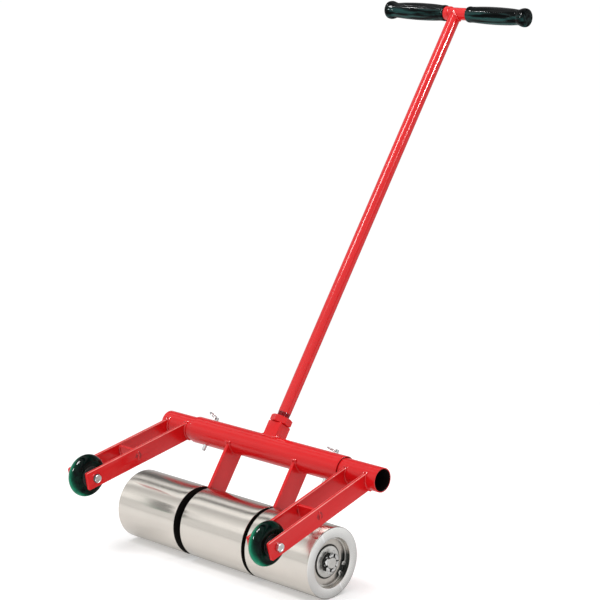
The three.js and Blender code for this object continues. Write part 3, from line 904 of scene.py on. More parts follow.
cross_tube()
for side, x in LEGS:
    leg(side, x)
handle_boss()
piece("jam_nut_hex", hex_nut(TUBE_AXES, 32.0, BOSS_TOP + FIT, 57.0, NUT_BORE, radians(38), "z"),
      RED, "jam_nut", angle=25)

# ------------------------------------------------------------------ the handle
THREAD_PITCH, THREAD_DEPTH = 1.814, 1.05
PIPE_FOOT, PIPE_TOP = 28.0, 813.0
THREAD_END = THREAD_TOP - 0.1


def pipe_warp(r, h, turn):
    """Cuts the helical thread at the foot and copes the top to the tee bar."""
    if h >= PIPE_TOP - 0.5:
        y = r * sin(turn)
        depth = (PIPE_R - 0.05) ** 2 - min(y * y, (PIPE_R - 0.06) ** 2)
        return r, TEE_UP - sqrt(max(0.0, depth))
    if r < 9.5 or h > THREAD_END:
        return r, h
    ridge = 1 - groove(h, turn, THREAD_PITCH)
    fade = clamp01((THREAD_END - h) / 2.2) * clamp01((h - 28.5) / 2)
    crest = 10.62 if h > THREAD_TOP - 2.3 else 10.45
    return crest - THREAD_DEPTH * (1 - min(1, ridge * 1.35)) * fade, h


def handle_pipe():
    hidden = heights(28.6, 44.0, 1.2)             # inside the boss
    thread = heights(hidden[-1] + 1.2, THREAD_END, THREAD_PITCH / 9)
    profile = [(PIPE_BORE, PIPE_FOOT), (9.6, PIPE_FOOT)]
    profile += [(10.0, h) for h in hidden + thread]
    profile += [(PIPE_R, h) for h in
                [THREAD_TOP + 0.1, THREAD_TOP + 2.5] + heights(100.0, 800, 60.0) + [PIPE_TOP]]
    profile += [(PIPE_BORE, PIPE_TOP), (PIPE_BORE, PIPE_FOOT)]
    piece("handle_pipe_body", turned(TUBE_AXES, profile, 64, "z", pipe_warp),
          RED_PIPE, "handle_pipe", angle=50)


def crossbar():
    """Tee bar with a rounded collar left of its middle."""
    collar_r, collar_fillet = 12.1, 3.4
    points = [(PIPE_BORE, -TEE_HALF), (PIPE_R, -TEE_HALF)]
    points += [(PIPE_R, x) for x in (-120, -90, -60, -40)]
    points += [(PIPE_R, -21, 0.8), (collar_r, -20.9, collar_fillet),
               (collar_r, -11.1, collar_fillet), (PIPE_R, -11, 0.8)]
    points += [(PIPE_R, x) for x in (0, 15, 30, 60, 90, 120, TEE_HALF)]
    points += [(PIPE_BORE, TEE_HALF), (PIPE_BORE, -TEE_HALF)]
    piece("handle_crossbar_body", turned(TEE_AXES, rounded(points, 0.4, 5), 64),
          RED_HANDLE, "handle_crossbar", angle=40)


# radius, share of the grip's length from its mouth
GRIP_OUTLINE = (
    (12.5, 0), (13.55, .006), (13.95, .03), (13.6, .062), (13.75, .1), (14.5, .19),
    (15.1, .33), (15.2, .49), (14.85, .62), (14.25, .735), (13.3, .825), (13.35, .862),
    (14.9, .9), (15.85, .93), (15.95, .957), (15.2, .982), (13.4, .996), (11.2, 1.0))
FLUTES, FLUTE_DEPTH = 9, 0.55
GRIP_BORE = PIPE_R + FIT


def grip(side, sign, mouth, end, flute_from, flute_to, phase):
    def flutes(r, h, turn):
        if r < 12.2:
            return r, h
        x = abs(h)
        fade = clamp01((x - flute_from) / 10.0) * clamp01((flute_to - x) / 14.0)
        fade = fade * fade * (3 - 2 * fade)
        wave = 0.5 + 0.5 * cos(FLUTES * turn + phase + 0.004 * x)
        return r - FLUTE_DEPTH * fade * (1 - wave ** 0.6), h

    bottom = TEE_HALF + 4                         # of the grip's bore
    outside = spline([(r, mouth + k * (end - mouth)) for r, k in GRIP_OUTLINE], 5)
    profile = [(0, bottom), (GRIP_BORE, bottom), (GRIP_BORE, mouth)] + outside + [(0, end)]
    mesh = turned(TEE_AXES, [(r, sign * h) for r, h in profile], 108, warp=flutes)
    piece(side + "_grip_moulding", mesh, GRIP, side + "_grip", angle=50)


handle_pipe()
crossbar()
grip("left", -1, mouth=21.4, end=153.2, flute_from=31, flute_to=133, phase=0.4)
grip("right", 1, mouth=28.4, end=154.4, flute_from=38, flute_to=135, phase=1.1)

# ------------------------------------------------------------------ the rollers
CORE_R = 13                      # bore between the bearings


def roller(name, points, ends, sign=1):
    """A roller section; ends are the x of its end faces in the gaps, painted near black as shade.
    """
    section = [(r, sign * h) for r, h in rounded(points, 0.4, 5)]
    ob = piece(name + "_roller_shell", turned(AXLE_AXES, stationed(section, 15), 176),
               ROLLER_STEEL, name + "_roller_section",
               body=name + "_roller", angle=40)
    ob.data.materials.append(SHADED_GAP_STEEL)
    for face in ob.data.polygons:
        if abs(face.normal.x) > 0.9 and any(
                abs(face.center.x - AXLE.x - x * MM) < 0.0004 for x in ends):
            face.material_index = 1


def bearing(name, node, body, axes, low, high, bore, outer):
    """Shielded bearing with a shallow groove in each face."""
    g0, g1 = bore + 0.30 * (outer - bore), bore + 0.72 * (outer - bore)
    depth = 0.55
    points = [(bore, low), (g0, low), (g0 + 0.3, low + depth), (g1 - 0.3, low + depth),
              (g1, low), (outer, low), (outer, high), (g1, high), (g1 - 0.3, high - depth),
              (g0 + 0.3, high - depth), (g0, high), (bore, high), (bore, low)]
    piece(name, turned(axes, rounded(points, 0.25, 3), 64),
          SHIELD, node, body, angle=35)


seat_end = POCKET_FLOOR - BEARING_SEAT - FIT
SIDE_SECTION = [
    (SEAT_R, SIDE_IN), (ROLLER_R, SIDE_IN, 1.0), (ROLLER_R, SIDE_OUT, 1.7),
    (POCKET_R, SIDE_OUT, 0.7), (POCKET_R, POCKET_FLOOR, 1.2), (SEAT_R, POCKET_FLOOR, 0.5),
    (SEAT_R, seat_end), (CORE_R, seat_end), (CORE_R, SIDE_IN + RECESS),
    (SEAT_R, SIDE_IN + RECESS), (SEAT_R, SIDE_IN)]
CENTRE_SECTION = [
    (SEAT_R, CENTRE_LEFT), (ROLLER_R, CENTRE_LEFT, 1.0), (ROLLER_R, CENTRE_RIGHT, 1.0),
    (SEAT_R, CENTRE_RIGHT), (SEAT_R, CENTRE_RIGHT - RECESS), (CORE_R, CENTRE_RIGHT - RECESS),
    (CORE_R, CENTRE_LEFT + RECESS), (SEAT_R, CENTRE_LEFT + RECESS), (SEAT_R, CENTRE_LEFT)]
for side, sign in SIDES:
    roller(side, SIDE_SECTION, (sign * SIDE_IN,), sign)
roller("centre", CENTRE_SECTION, (CENTRE_LEFT, CENTRE_RIGHT))

# name, x of the bearing's left face, body it turns with
for name, x, body in (
        ("left_outer", -POCKET_FLOOR + 0.15, "left"),
        ("left_inner", -SIDE_IN - RECESS + FIT, "left"),
        ("centre_left", CENTRE_LEFT + RECESS - BEARING_SEAT, "centre"),
        ("centre_right", CENTRE_RIGHT - RECESS + FIT, "centre"),
        ("right_inner", SIDE_IN + RECESS - BEARING_SEAT, "right"),
        ("right_outer", POCKET_FLOOR - BEARING_SEAT + 0.15, "right")):
    bearing(name + "_bearing_unit", name + "_bearing", body + "_roller",
            AXLE_AXES, x, x + (BEARING_SEAT - FIT), AXLE_HOLE_R, BEARING_R)

# ------------------------------------------------------------------ the axle and its ends
AXLE_END = SIDE_OUT + 0.2
AXLE_THREAD = 200.4              # |x| where the thread starts
COTTER_X = SIDE_OUT - 2.4
NUT_IN, NUT_OUT = SIDE_OUT - 8.7, SIDE_OUT + 0.4
cotter_turn = radians(-20)       # of the split pin round the axle
COTTER_Y = Vector((0, cos(cotter_turn), sin(cotter_turn)))
COTTER_Z = Vector((0, -sin(cotter_turn), cos(cotter_turn)))


def cotter_axes(sign):
    return Axes(AXLE, X * sign, COTTER_Y, COTTER_Z)


def axle_shaft():
    def thread(r, h, turn):
        if r < 9.0 or abs(h) < AXLE_THREAD + 0.1:
            return r, h
        return r - 0.95 * groove(h, turn, 2.54), h

    first = AXLE_THREAD + 0.2
    profile = [(0, -AXLE_END), (AXLE_R - 1.2, -AXLE_END), (AXLE_R, -AXLE_END + 1.2)]
    profile += [(AXLE_R, h) for h in
                heights(-AXLE_END + 1.5, -first, 0.32) + [-AXLE_THREAD, AXLE_THREAD]
                + heights(first, AXLE_END - 1.5, 0.32)]
    profile += [(AXLE_R, AXLE_END - 1.2), (AXLE_R - 1.2, AXLE_END), (0, AXLE_END)]
    ob = piece("axle_shaft_bar", turned(AXLE_AXES, profile, 56, warp=thread),
               AXLE_STEEL, "axle_shaft", angle=45)
    for _, sign in SIDES:
        carve(ob, [drill(cotter_axes(sign).moved(COTTER_X, 0, 0), 1.75, -14, 14, 24, "z")], 45)


def castle_nut(side, sign):
    mesh = hex_nut(cotter_axes(sign), 28.6, NUT_IN, NUT_OUT, AXLE_HOLE_R)
    ob = piece(side + "_axle_castle_nut", mesh, NUT_ZINC, side + "_axle_nut",
               angle=25)
    slots = []
    for k in range(3):
        a = radians(60 * k)
        axes = Axes(AXLE, X * sign, COTTER_Y * cos(a) + COTTER_Z * sin(a),
                    COTTER_Z * cos(a) - COTTER_Y * sin(a))
        slots.append(box_cutter(axes, (NUT_OUT - 4.3, NUT_OUT + 2), (-2.1, 2.1), (-20, 20)))
    carve(ob, slots, 25)


def axle_washer(side, sign):
    low, high = POCKET_FLOOR + FIT, NUT_IN - FIT
    points = [(AXLE_HOLE_R, low), (25, low), (25, high, 0.8), (AXLE_HOLE_R, high),
              (AXLE_HOLE_R, low)]
    piece(side + "_axle_washer_disc", turned(upright(AXLE, sign), rounded(points, 0.3), 112),
          AXLE_STEEL, side + "_axle_washer", angle=40)


def split_pin(side, sign):
    """Two legs and an eye; one leg is bent over further than the other."""
    axes = cotter_axes(sign).moved(COTTER_X, 0, 0)

    def run(*points):
        return [axes.point(0, y, z) for y, z in points]

    eye = run(*[(2.25 * sin(a), 16.6 - 2.9 * cos(a))
                for a in [0.25 + (2 * pi - 0.5) * i / 18 for i in range(19)]])
    path = (run((5.2, -18.6), (3.0, -18.3), (1.1, -17.0))
            + polyline(run((0.55, -16.2), (0.62, 0), (0.62, 13)), 3.0) + eye
            + polyline(run((-0.62, 13), (-0.62, 0), (-0.62, -15.0)), 3.0)
            + run((-0.9, -16.8), (-1.6, -18.0)))
    piece(side + "_split_pin", sweep(path, 0.62, 10), ZINC,
          side + "_cotter_pin", angle=60)


def retaining_ring(side, sign):
    """Open ring in the pocket with two drilled lugs at its gap."""
    gap = 8.0                                     # half the gap, degrees
    outer, inner, lug = POCKET_R - 0.3, POCKET_R - 3.5, POCKET_R - 8.3

    def at(r, degrees):
        a = radians(degrees - 30)
        return r * cos(a), r * sin(a)

    outline = [at(outer, gap + (360 - 2 * gap) * i / 72) for i in range(73)]
    outline += [at(lug + 0.6, -gap), at(lug, -gap - 1.5), at(lug, -gap - 7.5),
                at(lug + 0.9, -gap - 9)]
    outline += [at(inner, -gap - 11.5 - (360 - 2 * gap - 23) * i / 60) for i in range(61)]
    outline += [at(lug + 0.9, gap + 9), at(lug, gap + 7.5), at(lug, gap + 1.5),
                at(lug + 0.6, gap)]
    axes = upright(AXLE, sign)
    mesh = plate(axes, outline, POCKET_FLOOR + 2.9, POCKET_FLOOR + 4.3, bevel=0.2)
    ob = piece(side + "_retaining_ring", mesh, AXLE_STEEL,
               side + "_circlip", side + "_roller", angle=35)
    carve(ob, [drill(axes.moved(0, *at(inner - 1.5, degrees)), 1.2,
                     POCKET_FLOOR, POCKET_FLOOR + 8, 24)
               for degrees in (gap + 4.6, -gap - 4.6)], 35)


axle_shaft()
for side, sign in SIDES:
    castle_nut(side, sign)
    axle_washer(side, sign)
    split_pin(side, sign)
    retaining_ring(side, sign)

# thrust washers on both faces of each leg
THRUST = 1.4
beside = LEG_THICK / 2 + FIT + THRUST / 2
for (side, leg_x), places in zip(LEGS, (("outer", "inner"), ("inner", "outer"))):
    for place, x in zip(places, (leg_x - beside, leg_x + beside)):
        node = f"{side}_{place}_thrust_washer"
        section = ring_section(AXLE_HOLE_R, 14.5, x - THRUST / 2, x + THRUST / 2)
        piece(node + "_ring", turned(AXLE_AXES, rounded(section, 0.25, 3), 64),
              AXLE_STEEL, node, angle=35)

# ------------------------------------------------------------------ the carriages
FORK_HALF = (ARM_X["outer"] - ARM_X["inner"]) / 2 + ARM_THICK / 2   # to the arms' far faces
HUB_HALF = 12.0


def carriage_tube(side, sign):
    axes = leaning(TUBE, sign)
    section = tube_section(SLIDE_BORE, SLIDE_R, SLIDE_IN, SLIDE_OUT[side], step=9.0, rim=0.5)
    ob = piece(side + "_carriage_tube", turned(axes, section, 104),
               RED_SLIDE, side + "_inner_tube")
    carve(ob, [drill(axes.moved(PIN_X, 0, 0), PIN_HOLE_R, -30, 30, 32, "z")])


def arm_bars(side, sign):
    """Flat bars coped onto the carriage tube, with rounded corners at the wheel end."""
    axes = ARM_AXES[side]
    cope_r, corner_r = SLIDE_R - 0.12, 3.0
    outline = [(cope_r * cos(a), cope_r * sin(a))
               for a in swing(math.asin(ARM_HALF / cope_r), 16)]
    for z, start in ((-ARM_HALF + corner_r, -pi / 2), (ARM_HALF - corner_r, 0.0)):
        outline += [(ARM_END - corner_r + corner_r * cos(a), z + corner_r * sin(a))
                    for a in [start + pi / 2 * i / 6 for i in range(7)]]
    centres = [axes.point(sign * x, 0, 0).x for x in ARM_X.values()]
    # ridge: painted highlight lines on the bars' top edges
    paint = red_paint("paint_bars_" + side, scorch=axes.point(0, SPACER_AT, 1.5),
                      ridge=(axes.origin, axes.z, centres, ARM_THICK / 2, ARM_HALF))
    for place, arm_x in ARM_X.items():
        x = sign * arm_x
        mesh = plate(axes, outline, x - ARM_THICK / 2, x + ARM_THICK / 2, bevel=0.65)
        ob = piece(f"{side}_{place}_arm_bar", mesh, paint,
                   f"{side}_{place}_arm", angle=35)
        ob.visible_glossy = side == "right"
        carve(ob, [drill(axes.moved(x, ARM_REACH[side], 0), BOLT_HOLE_R, -8, 8, 40)], 35)


def arm_spacer(side, sign):
    """Flat spacer between the bars, square to them; only its long edges are rounded."""
    half = (ARM_X["outer"] - ARM_X["inner"] - ARM_THICK) / 2 + 0.1
    middle = sign * (ARM_X["inner"] + ARM_X["outer"]) / 2
    outline = [(-2.5, -9.0), (2.5, -9.0), (2.5, 11.0), (-2.5, 11.0)]
    blank = plate(ARM_AXES[side].moved(0, SPACER_AT, 0), outline,
                  middle - half, middle + half, bevel=0.0)
    bm = fill_bmesh(bpy.data.meshes.new("spacer_blank"), *blank)
    long_edges = [e for e in bm.edges
                  if abs((e.verts[0].co - e.verts[1].co).normalized().x) > 0.9]
    bmesh.ops.bevel(bm, geom=long_edges, offset=0.6 * MM, offset_type="OFFSET", segments=2,
                    profile=0.5, affect="EDGES")
    piece(side + "_arm_spacer_plate", drain_bmesh(bm), RED,
          side + "_arm_spacer", angle=35)


# radius, x from one rim to the middle of the crown; the other half mirrors it
TYRE_HALF = [(17.8, -11.3), (20.0, -11.55), (24.0, -11.95), (27.2, -11.35), (29.8, -10.05),
             (31.9, -8.1), (33.5, -5.6), (34.6, -2.9), (35.0, 0)]
# radius, x[, own fillet]
HUB_SECTION = [
    (11.3, -11.6), (13.0, -11.6, 0.2), (13.4, -10.3, 0.3), (15.4, -10.0, 0.3),
    (16.0, -11.5, 0.3), (17.5, -11.5), (17.5, 11.5), (16.0, 11.5, 0.3), (15.4, 10.0, 0.3),
    (13.4, 10.3, 0.3), (13.0, 11.6, 0.2), (11.3, 11.6), (11.3, 4.6), (8.4, 4.6),
    (8.4, -4.6), (11.3, -4.6), (11.3, -11.6)]


def wheel(side):
    axes, body = WHEEL_AXES[side], side + "_wheel"
    crown = spline(TYRE_HALF + [(r, -x) for r, x in TYRE_HALF[-2::-1]], 4)
    piece(side + "_tyre_moulding", turned(axes, crown + [crown[0]], 120),
          TYRE, side + "_tyre", body, angle=60)
    piece(side + "_hub_core", turned(axes, rounded(HUB_SECTION, 0.3, 3)),
          HUB, side + "_hub", body, angle=40)
    for end, low, high in (("a", -HUB_HALF, -HUB_HALF + 7.1), ("b", HUB_HALF - 7.1, HUB_HALF)):
        bearing(f"{side}_wheel_bearing_unit_{end}", f"{side}_wheel_bearing_{end}", body,
                axes, low, high, BOLT_HOLE_R, 11.0)
    inside = FORK_HALF - ARM_THICK - FIT
    for end, low, high in (("a", -inside, -HUB_HALF - FIT), ("b", HUB_HALF + FIT, inside)):
        section = rounded(ring_section(BOLT_HOLE_R, 6.4, low, high), 0.5, 3)
        piece(f"{side}_hub_spacer_{end}", turned(axes, section, 64),
              ZINC, f"{side}_wheel_spacer_{end}", angle=35)


def wheel_bolt(side):
    """Hex bolt with its head at +X and a threaded tail, and its nut."""
    flats = 12.7
    tail, seat, top = -FORK_HALF - 9.5, FORK_HALF + FIT, FORK_HALF + 5.7
    under = seat + 0.35                           # of the hexagon, above its washer face
    head = hex_warp(flats, radians(12), under, top)

    def warp(r, h, turn):
        if r > 6.0 and h > FORK_HALF + 0.5:
            return head(r, h, turn)
        if 3.8 < r < 4.1 and h < -FORK_HALF + 1.0:
            return r - 0.52 * groove(h, turn, 1.411), h
        return r, h

    corner, face = flats / math.sqrt(3), flats / 2 * CHAMFER_START
    profile = [(0, tail), (3.2, tail), (3.7, tail + 0.8)]
    profile += [(BOLT_R, h) for h in heights(tail + 1.0, -FORK_HALF + 0.9, 0.22)]
    profile += [(BOLT_R, -FORK_HALF + 1.2), (BOLT_R, seat), (5.9, seat), (5.9, under),
                (face, under), (corner, under), (corner, top), (face, top), (4.8, top),
                (4.4, top - 0.25), (0, top - 0.25)]
    axes = WHEEL_AXES[side]
    piece(side + "_wheel_bolt_hex", turned(axes, profile, 120, warp=warp),
          ZINC, side + "_wheel_bolt", angle=25)
    nut = hex_nut(axes, flats, -FORK_HALF - 7.3, -FORK_HALF - FIT, BOLT_HOLE_R, radians(20),
                  count=120)
    piece(side + "_wheel_nut_hex", nut, ZINC, side + "_wheel_nut", angle=25)


def lock_pin(axes, side):
    """Chamfered rod, cross-drilled near its top."""
    points = [(0, -32), (2.2, -32, 0.3), (3.175, -30.6, 0.5), (3.175, 28.4, 1.1), (0, 28.4)]
    ob = piece(side + "_lock_pin_rod", turned(axes, rounded(points, 0.3), 48, "z"),
               ZINC, side + "_lock_pin", side + "_pin", angle=35)
    hole = Axes(axes.point(0, 0, PIN_EYE), REAR, X, UP)
    carve(ob, [drill(hole, 1.8, -10, 10, 32)], 35)


def pull_ring(axes, side):
    """Wire coil of nearly two turns through the pin's eye."""
    ring_r, turns, steps = 9.4, 1.93, 96
    tilt = radians(27 if side == "left" else 6)
    outward = (-X) * cos(tilt) + UP * sin(tilt)
    square = UP * cos(tilt) + X * sin(tilt)
    centre = axes.point(0, 0, PIN_EYE) + outward * ring_r * MM
    path = []
    for i in range(steps + 1):
        a = 2 * pi * turns * i / steps + 0.9
        offset = 0.52 * max(-1, min(1, (i / steps - 0.5) / 0.05))   # from one turn to the next
        path.append(centre + (-outward * cos(a) + REAR * sin(a)) * ring_r * MM
                    + square * offset * MM)
    piece(side + "_pull_ring", sweep(path, 0.5, 10), ZINC,
          side + "_pin_ring", side + "_ring", angle=60)


for side, sign in SIDES:
    carriage_tube(side, sign)
    arm_bars(side, sign)
    arm_spacer(side, sign)
    wheel(side)
    wheel_bolt(side)
    pin_axes = leaning(TUBE + X * sign * PIN_X * MM)
    lock_pin(pin_axes, side)
    pull_ring(pin_axes, side)


# ------------------------------------------------------------------ welds
PROUD = 1.01                     # beads run just outside a tube's surface


def boss_weld():
    """Round the foot of the boss, following the saddle."""
    half = BOSS_HALF + 0.5
    edge = [-half + 2 * half * k / 24 for k in range(25)]
    corners = [(v, -half) for v in edge] + [(half, v) for v in edge[1:]]
    corners += [(-v, half) for v in edge[1:]] + [(-half, -v) for v in edge[1:-1]]
    points = [TUBE_AXES.point(x, y, sqrt(TUBE_R * TUBE_R - y * y) + 0.3) for x, y in corners]
    bead("boss_weld", points, 2.1, seed=1.0, closed=True)


def leg_welds(side, leg_x):
    """Along both faces of a leg and over its front and rear edges."""
    def under_tube(x, a):
        return TUBE_AXES.point(x, TUBE_R * sin(a) * PROUD, -TUBE_R * cos(a) * PROUD)

    for face, q in (("a", -1), ("b", 1)):
        x = leg_x + q * (LEG_THICK / 2 + 0.35)
        points = [under_tube(x, -a) for a in swing(math.asin(LEG_HALF / TUBE_R), 24)]
        bead(f"{side}_leg_weld_{face}", points, 1.7, seed=2.0 + q + leg_x)
    for end, q in (("front", -1), ("rear", 1)):
        a = math.asin((LEG_HALF + 0.8) / TUBE_R) * q
        points = [under_tube(leg_x + LEG_THICK * (k / 6 - 0.5) * 1.15, a) for k in range(7)]
        bead(f"{side}_leg_weld_{end}", points, 2.4, seed=9.0 + q + leg_x)


def arm_welds(side, sign, place, arm_x):
    """Where a bar meets the carriage tube, and the plug weld over the spacer's end."""
    axes = ARM_AXES[side]

    def on_tube(x, a):
        return axes.point(x, SLIDE_R * PROUD * cos(a), SLIDE_R * PROUD * sin(a))

    for face, q in (("a", -1), ("b", 1)):
        x = sign * arm_x + q * (ARM_THICK / 2 + 0.3)
        points = [on_tube(x, a) for a in swing(math.asin((ARM_HALF - 0.5) / SLIDE_R), 20)]
        bead(f"{side}_{place}_arm_weld_{face}", points, 1.6, seed=20 + arm_x + q + sign)
    for end, q in (("top", 1), ("under", -1)):
        a = math.asin((ARM_HALF + 0.7) / SLIDE_R) * q
        points = [on_tube(sign * arm_x + ARM_THICK * (k / 5 - 0.5) * 1.2, a) for k in range(6)]
        bead(f"{side}_{place}_arm_weld_{end}", points, 1.9, seed=40 + arm_x + q + sign)
    q = sign if place == "outer" else -sign
    x = sign * arm_x + q * (ARM_THICK / 2 - 0.35)
    points = [axes.point(x, SPACER_AT + 0.8 * sin(k * 0.9), 7.5 - 11.0 * k / 10)
              for k in range(11)]
    bead(f"{side}_{place}_plug_weld", points, 2.0, seed=60 + arm_x + sign, jitter=0.8)


def spacer_weld(side, sign, place, arm_x):
    """Fillet between bar and spacer, on the spacer's face towards the wheel."""
    q = 1 if place == "inner" else -1
    x = sign * (arm_x + q * (ARM_THICK / 2 + 0.25))
    points = [ARM_AXES[side].point(x, SPACER_AT + 2.8, 10.2 - 18.4 * k / 14)
              for k in range(15)]
    bead(f"{side}_{place}_spacer_weld", points, 1.2, seed=80 + arm_x + sign)


def tee_weld():
    """Saddle fillet where the pipe meets the tee bar."""
    points = []
    for k in range(72):
        a = 2 * pi * k / 72
        y = PIPE_R * sin(a)
        points.append(TEE_AXES.point(PIPE_R * cos(a) * 1.04, y,
                                     -sqrt(max(0.0, PIPE_R ** 2 - y * y)) - 0.6))
    bead("tee_weld", points, 2.0, seed=5.0, closed=True, ripple=3.0)


boss_weld()
for side, x in LEGS:
    leg_welds(side, x)
for side, sign in SIDES:
    for weld in (arm_welds, spacer_weld):
        for place, x in ARM_X.items():
            weld(side, sign, place, x)
tee_weld()


# ------------------------------------------------------------------ lights, metres and watts
def area(name, place, target, width, height, watts, glossy=True, diffuse=True):
    light = bpy.data.lights.new(name, "AREA")
    light.shape = "RECTANGLE"
    light.size, light.size_y = width, height
    light.energy = watts
    ob = bpy.data.objects.new(name, light)
    scene.collection.objects.link(ob)
    ob.location = place
    ob.rotation_mode = "QUATERNION"
    ob.rotation_quaternion = (Vector(target) - Vector(place)).to_track_quat("-Z", "Y")
    ob.visible_glossy, ob.visible_diffuse = glossy, diffuse
    return ob


def receivers(name, keys):
    """Collection of the meshes whose name holds one of the keys."""
    group = bpy.data.collections.new(name)
    for ob in scene.collection.objects:
        if ob.type == "MESH" and any(key in ob.name for key in keys):
            group.objects.link(ob)
    return group


area("overhead", (0.5, 0.4, 2.8), (0.0, 0, 0.2), width=2.0, height=2.0, watts=26.0,
     glossy=False)
area("softbox_front", (-0.42, -1.40, 2.60), (0.0, -0.05, 0.60), width=1.15, height=0.80,
     watts=26.0, glossy=False)

SHINY = ("handle_pipe_body", "handle_crossbar_body", "weld", "bolt_hex", "nut_hex", "pull_ring")
EDGES = ("weld", "arm_bar", "leg_bar", "spacer_plate", "carriage_tube", "cross_tube_body",
         "boss_block", "nut_hex")
FRONT = (-0.41, -1.30, 2.59)
LEFT_GRIP_PANEL = TEE + Vector((-1.72, -0.83, 1.635))
RIGHT_GRIP_PANEL = TEE + Vector((-1.51, -0.80, 1.60))
# panels seen only as reflections: name, place, target, width, height, watts, receivers
PANELS = (
    ("panel_front", FRONT, (0.0, 0.19, 0.65), 0.50, 0.80, 25.0, SHINY),
    ("panel_right", (2.29, 0.62, 1.80), (0.0, 0.32, 0.85), 0.66, 0.26, 72.0, SHINY),
    ("panel_black_parts", FRONT, (0.0, 0.0, 0.4), 0.62, 0.95, 170.0, ("moulding",)),
    ("panel_left", (-0.80, -2.15, 1.25), (0.0, -0.32, 0.13), 0.34, 0.34, 42.0, ("moulding",)),
    ("panel_grip_left", LEFT_GRIP_PANEL, TEE, 0.12, 0.10, 12.0, ("left_grip_moulding",)),
    ("panel_grip_right", RIGHT_GRIP_PANEL, TEE, 0.12, 0.10, 12.0, ("right_grip_moulding",)),
    ("panel_weld", FRONT, (0.0, 0.0, 0.2), 0.70, 0.70, 120.0, ("weld",)),
    ("panel_back", (0.75, 1.05, 2.20), (0.0, -0.1, 0.2), 1.3, 1.3, 150.0, EDGES))
for name, place, target, width, height, watts, keys in PANELS:
    panel = area(name, place, target, width, height, watts, diffuse=False)
    panel.light_linking.receiver_collection = receivers(name + "_set", keys)

# ------------------------------------------------------------------ world
# what reflections see round the X axis: degrees (0 level, front at 0, overhead at 90), grey
TENT = (
    (-180, 0.80), (180, 0.70), (0, 0.84), (22, 0.84), (28, 1.12), (38, 1.18), (46, 0.98),
    (55, 0.82), (63, 0.70), (71, 0.56), (73, 0.72), (77, 1.20), (84, 1.18), (91, 1.06),
    (94, 0.94), (95.5, 0.0), (104, 0.0), (106, 1.16), (117, 1.22), (120, 0.25), (136, 0.08),
    (155, 0.30))


def build_world():
    """White to the camera, soft grey as light, a tent of panels in reflections."""
    world = bpy.data.worlds.new("studio")
    scene.world = world
    g = Graph(world, "OutputWorld")
    world.cycles.sampling_method = "NONE"

    def background(colour, strength):
        return g.node("Background", {"Strength": strength, "Color": colour}).outputs[0]

    direction = g.node("SeparateXYZ", {0: g.node("TexCoord").outputs["Generated"]}).outputs
    tent = g.angle_ramp(g.heading(direction["Z"], g.times(direction["Y"], -1.0)), TENT)
    ray = g.node("LightPath").outputs
    white = (1, 1, 1)
    lit = g.blend(ray["Is Glossy Ray"], background(white, strength=0.62),
                  background(tent, strength=1.0))
    seen = g.blend(ray["Is Camera Ray"], lit, background(white, strength=1.0))
    g.feed(g.output.inputs[0], seen)


build_world()

# ------------------------------------------------------------------ floor
# how bright the floor is in reflections, by heading of the ray: degrees, grey
ROUND = ((-180, 1.1), (180, 1.1), (-100, 0.90), (-60, 1.0), (40, 1.0), (43, 0.85), (47, 0.45),
         (53, 0.28), (90, 0.30), (115, 0.55), (130, 1.1))


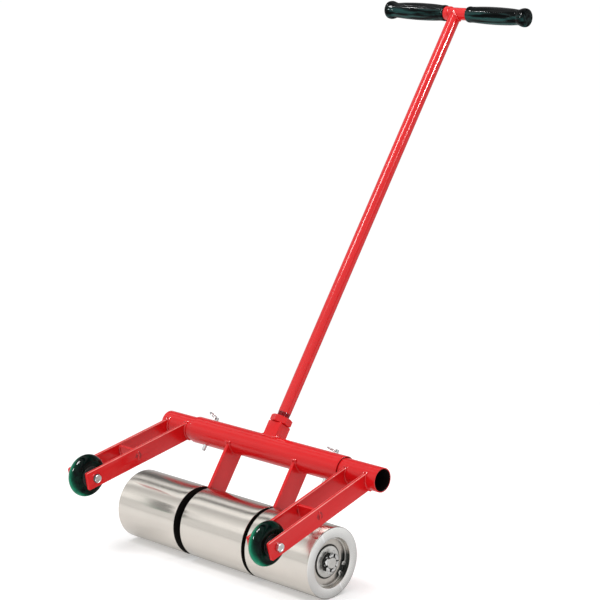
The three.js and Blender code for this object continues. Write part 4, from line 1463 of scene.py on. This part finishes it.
def floor_material():
    """White paper that glows a little, leaving only a faint contact shade."""
    m = Material("studio_floor")
    cloud = m.noise(scale=3.0, detail=2.0)
    m.put({
        "Base Color": m.mix(m.ramp(cloud, over=(0.3, 0.7)),
                            (0.90, 0.90, 0.90), (0.88, 0.88, 0.88)),
        "Roughness": 0.9,
        "Specular IOR Level": 0.0,
        "Emission Color": (1.0, 1.0, 1.0),
        "Emission Strength": 0.26})
    # in reflections the floor is darker towards some headings
    incoming = m.node("SeparateXYZ", {0: m.node("NewGeometry").outputs["Incoming"]}).outputs

    def heading():
        return m.heading(m.times(incoming["Y"], -1.0), incoming["X"])

    seen = m.angle_ramp(heading(), ROUND)
    steep = m.ramp(incoming["Z"], over=(0.20, 0.42), to=(0.0, 0.50))
    behind = m.ramp(heading(), over=(0.598, 0.612))
    dim = m.math("SUBTRACT", 1.0, m.times(steep, behind))
    seen = m.mix(1.0, seen, dim, mode="MULTIPLY")
    diffuse = m.node("BsdfDiffuse", {
        "Color": m.mix(1.0, seen, (0.62, 0.62, 0.62), mode="MULTIPLY")})
    glow = m.node("Emission", {"Color": seen, "Strength": 0.30})
    reflected = m.node("AddShader", {0: diffuse.outputs[0], 1: glow.outputs[0]})
    ray = m.node("LightPath").outputs
    # the paper turns pure white away from the tool
    x_squared = m.math("POWER", m.along((0, 0, 0), (1, 0, 0)), 2.0)
    y_squared = m.math("POWER", m.along((0, 0, 0), (0, 1, 0)), 2.0)
    distance = m.math("SQRT", m.math("ADD", x_squared, y_squared))
    far = m.ramp(distance, over=(0.40, 1.1))
    white = m.node("Emission", {"Strength": 1.02})
    near = m.blend(far, m.shader.outputs[0], white.outputs[0])
    m.feed(m.output.inputs[0], m.blend(ray["Is Glossy Ray"], near, reflected.outputs[0]))
    return m.material


FLOOR_HALF, FLOOR_Z = 30, -0.0003
corners = [(x * FLOOR_HALF, y * FLOOR_HALF, FLOOR_Z)
           for x, y in ((-1, -1), (1, -1), (1, 1), (-1, 1))]
floor_mesh = bpy.data.meshes.new("studio_floor")
floor_mesh.from_pydata(corners, [], [(0, 1, 2, 3)])
floor = bpy.data.objects.new("studio_floor", floor_mesh)
floor.data.materials.append(floor_material())
scene.collection.objects.link(floor)

# ------------------------------------------------------------------ camera
YAW, PITCH, ROLL = 0.76073, 0.208468, -0.002779     # radians
camera = bpy.data.cameras.new("camera")
camera_ob = bpy.data.objects.new("camera", camera)
scene.collection.objects.link(camera_ob)
forward = Vector((-sin(YAW) * cos(PITCH), cos(YAW) * cos(PITCH), -sin(PITCH)))
level = Vector((cos(YAW), sin(YAW), 0))
down = forward.cross(level)
rolled_right = level * cos(ROLL) + down * sin(ROLL)
rolled_down = down * cos(ROLL) - level * sin(ROLL)
place = Vector((2.150571 + AXLE.x, -2.105432 + AXLE.y, 1.075616))
turn = Matrix((rolled_right, -rolled_down, -forward)).transposed().to_4x4()
camera_ob.matrix_world = Matrix.Translation(place) @ turn
camera.lens = 117.17424
camera.sensor_width = 36
camera.clip_start, camera.clip_end = 0.05, 100
scene.camera = camera_ob
scene.view_settings.view_transform = "Standard"
scene.view_settings.look = "None"
scene.view_settings.exposure = 0.0
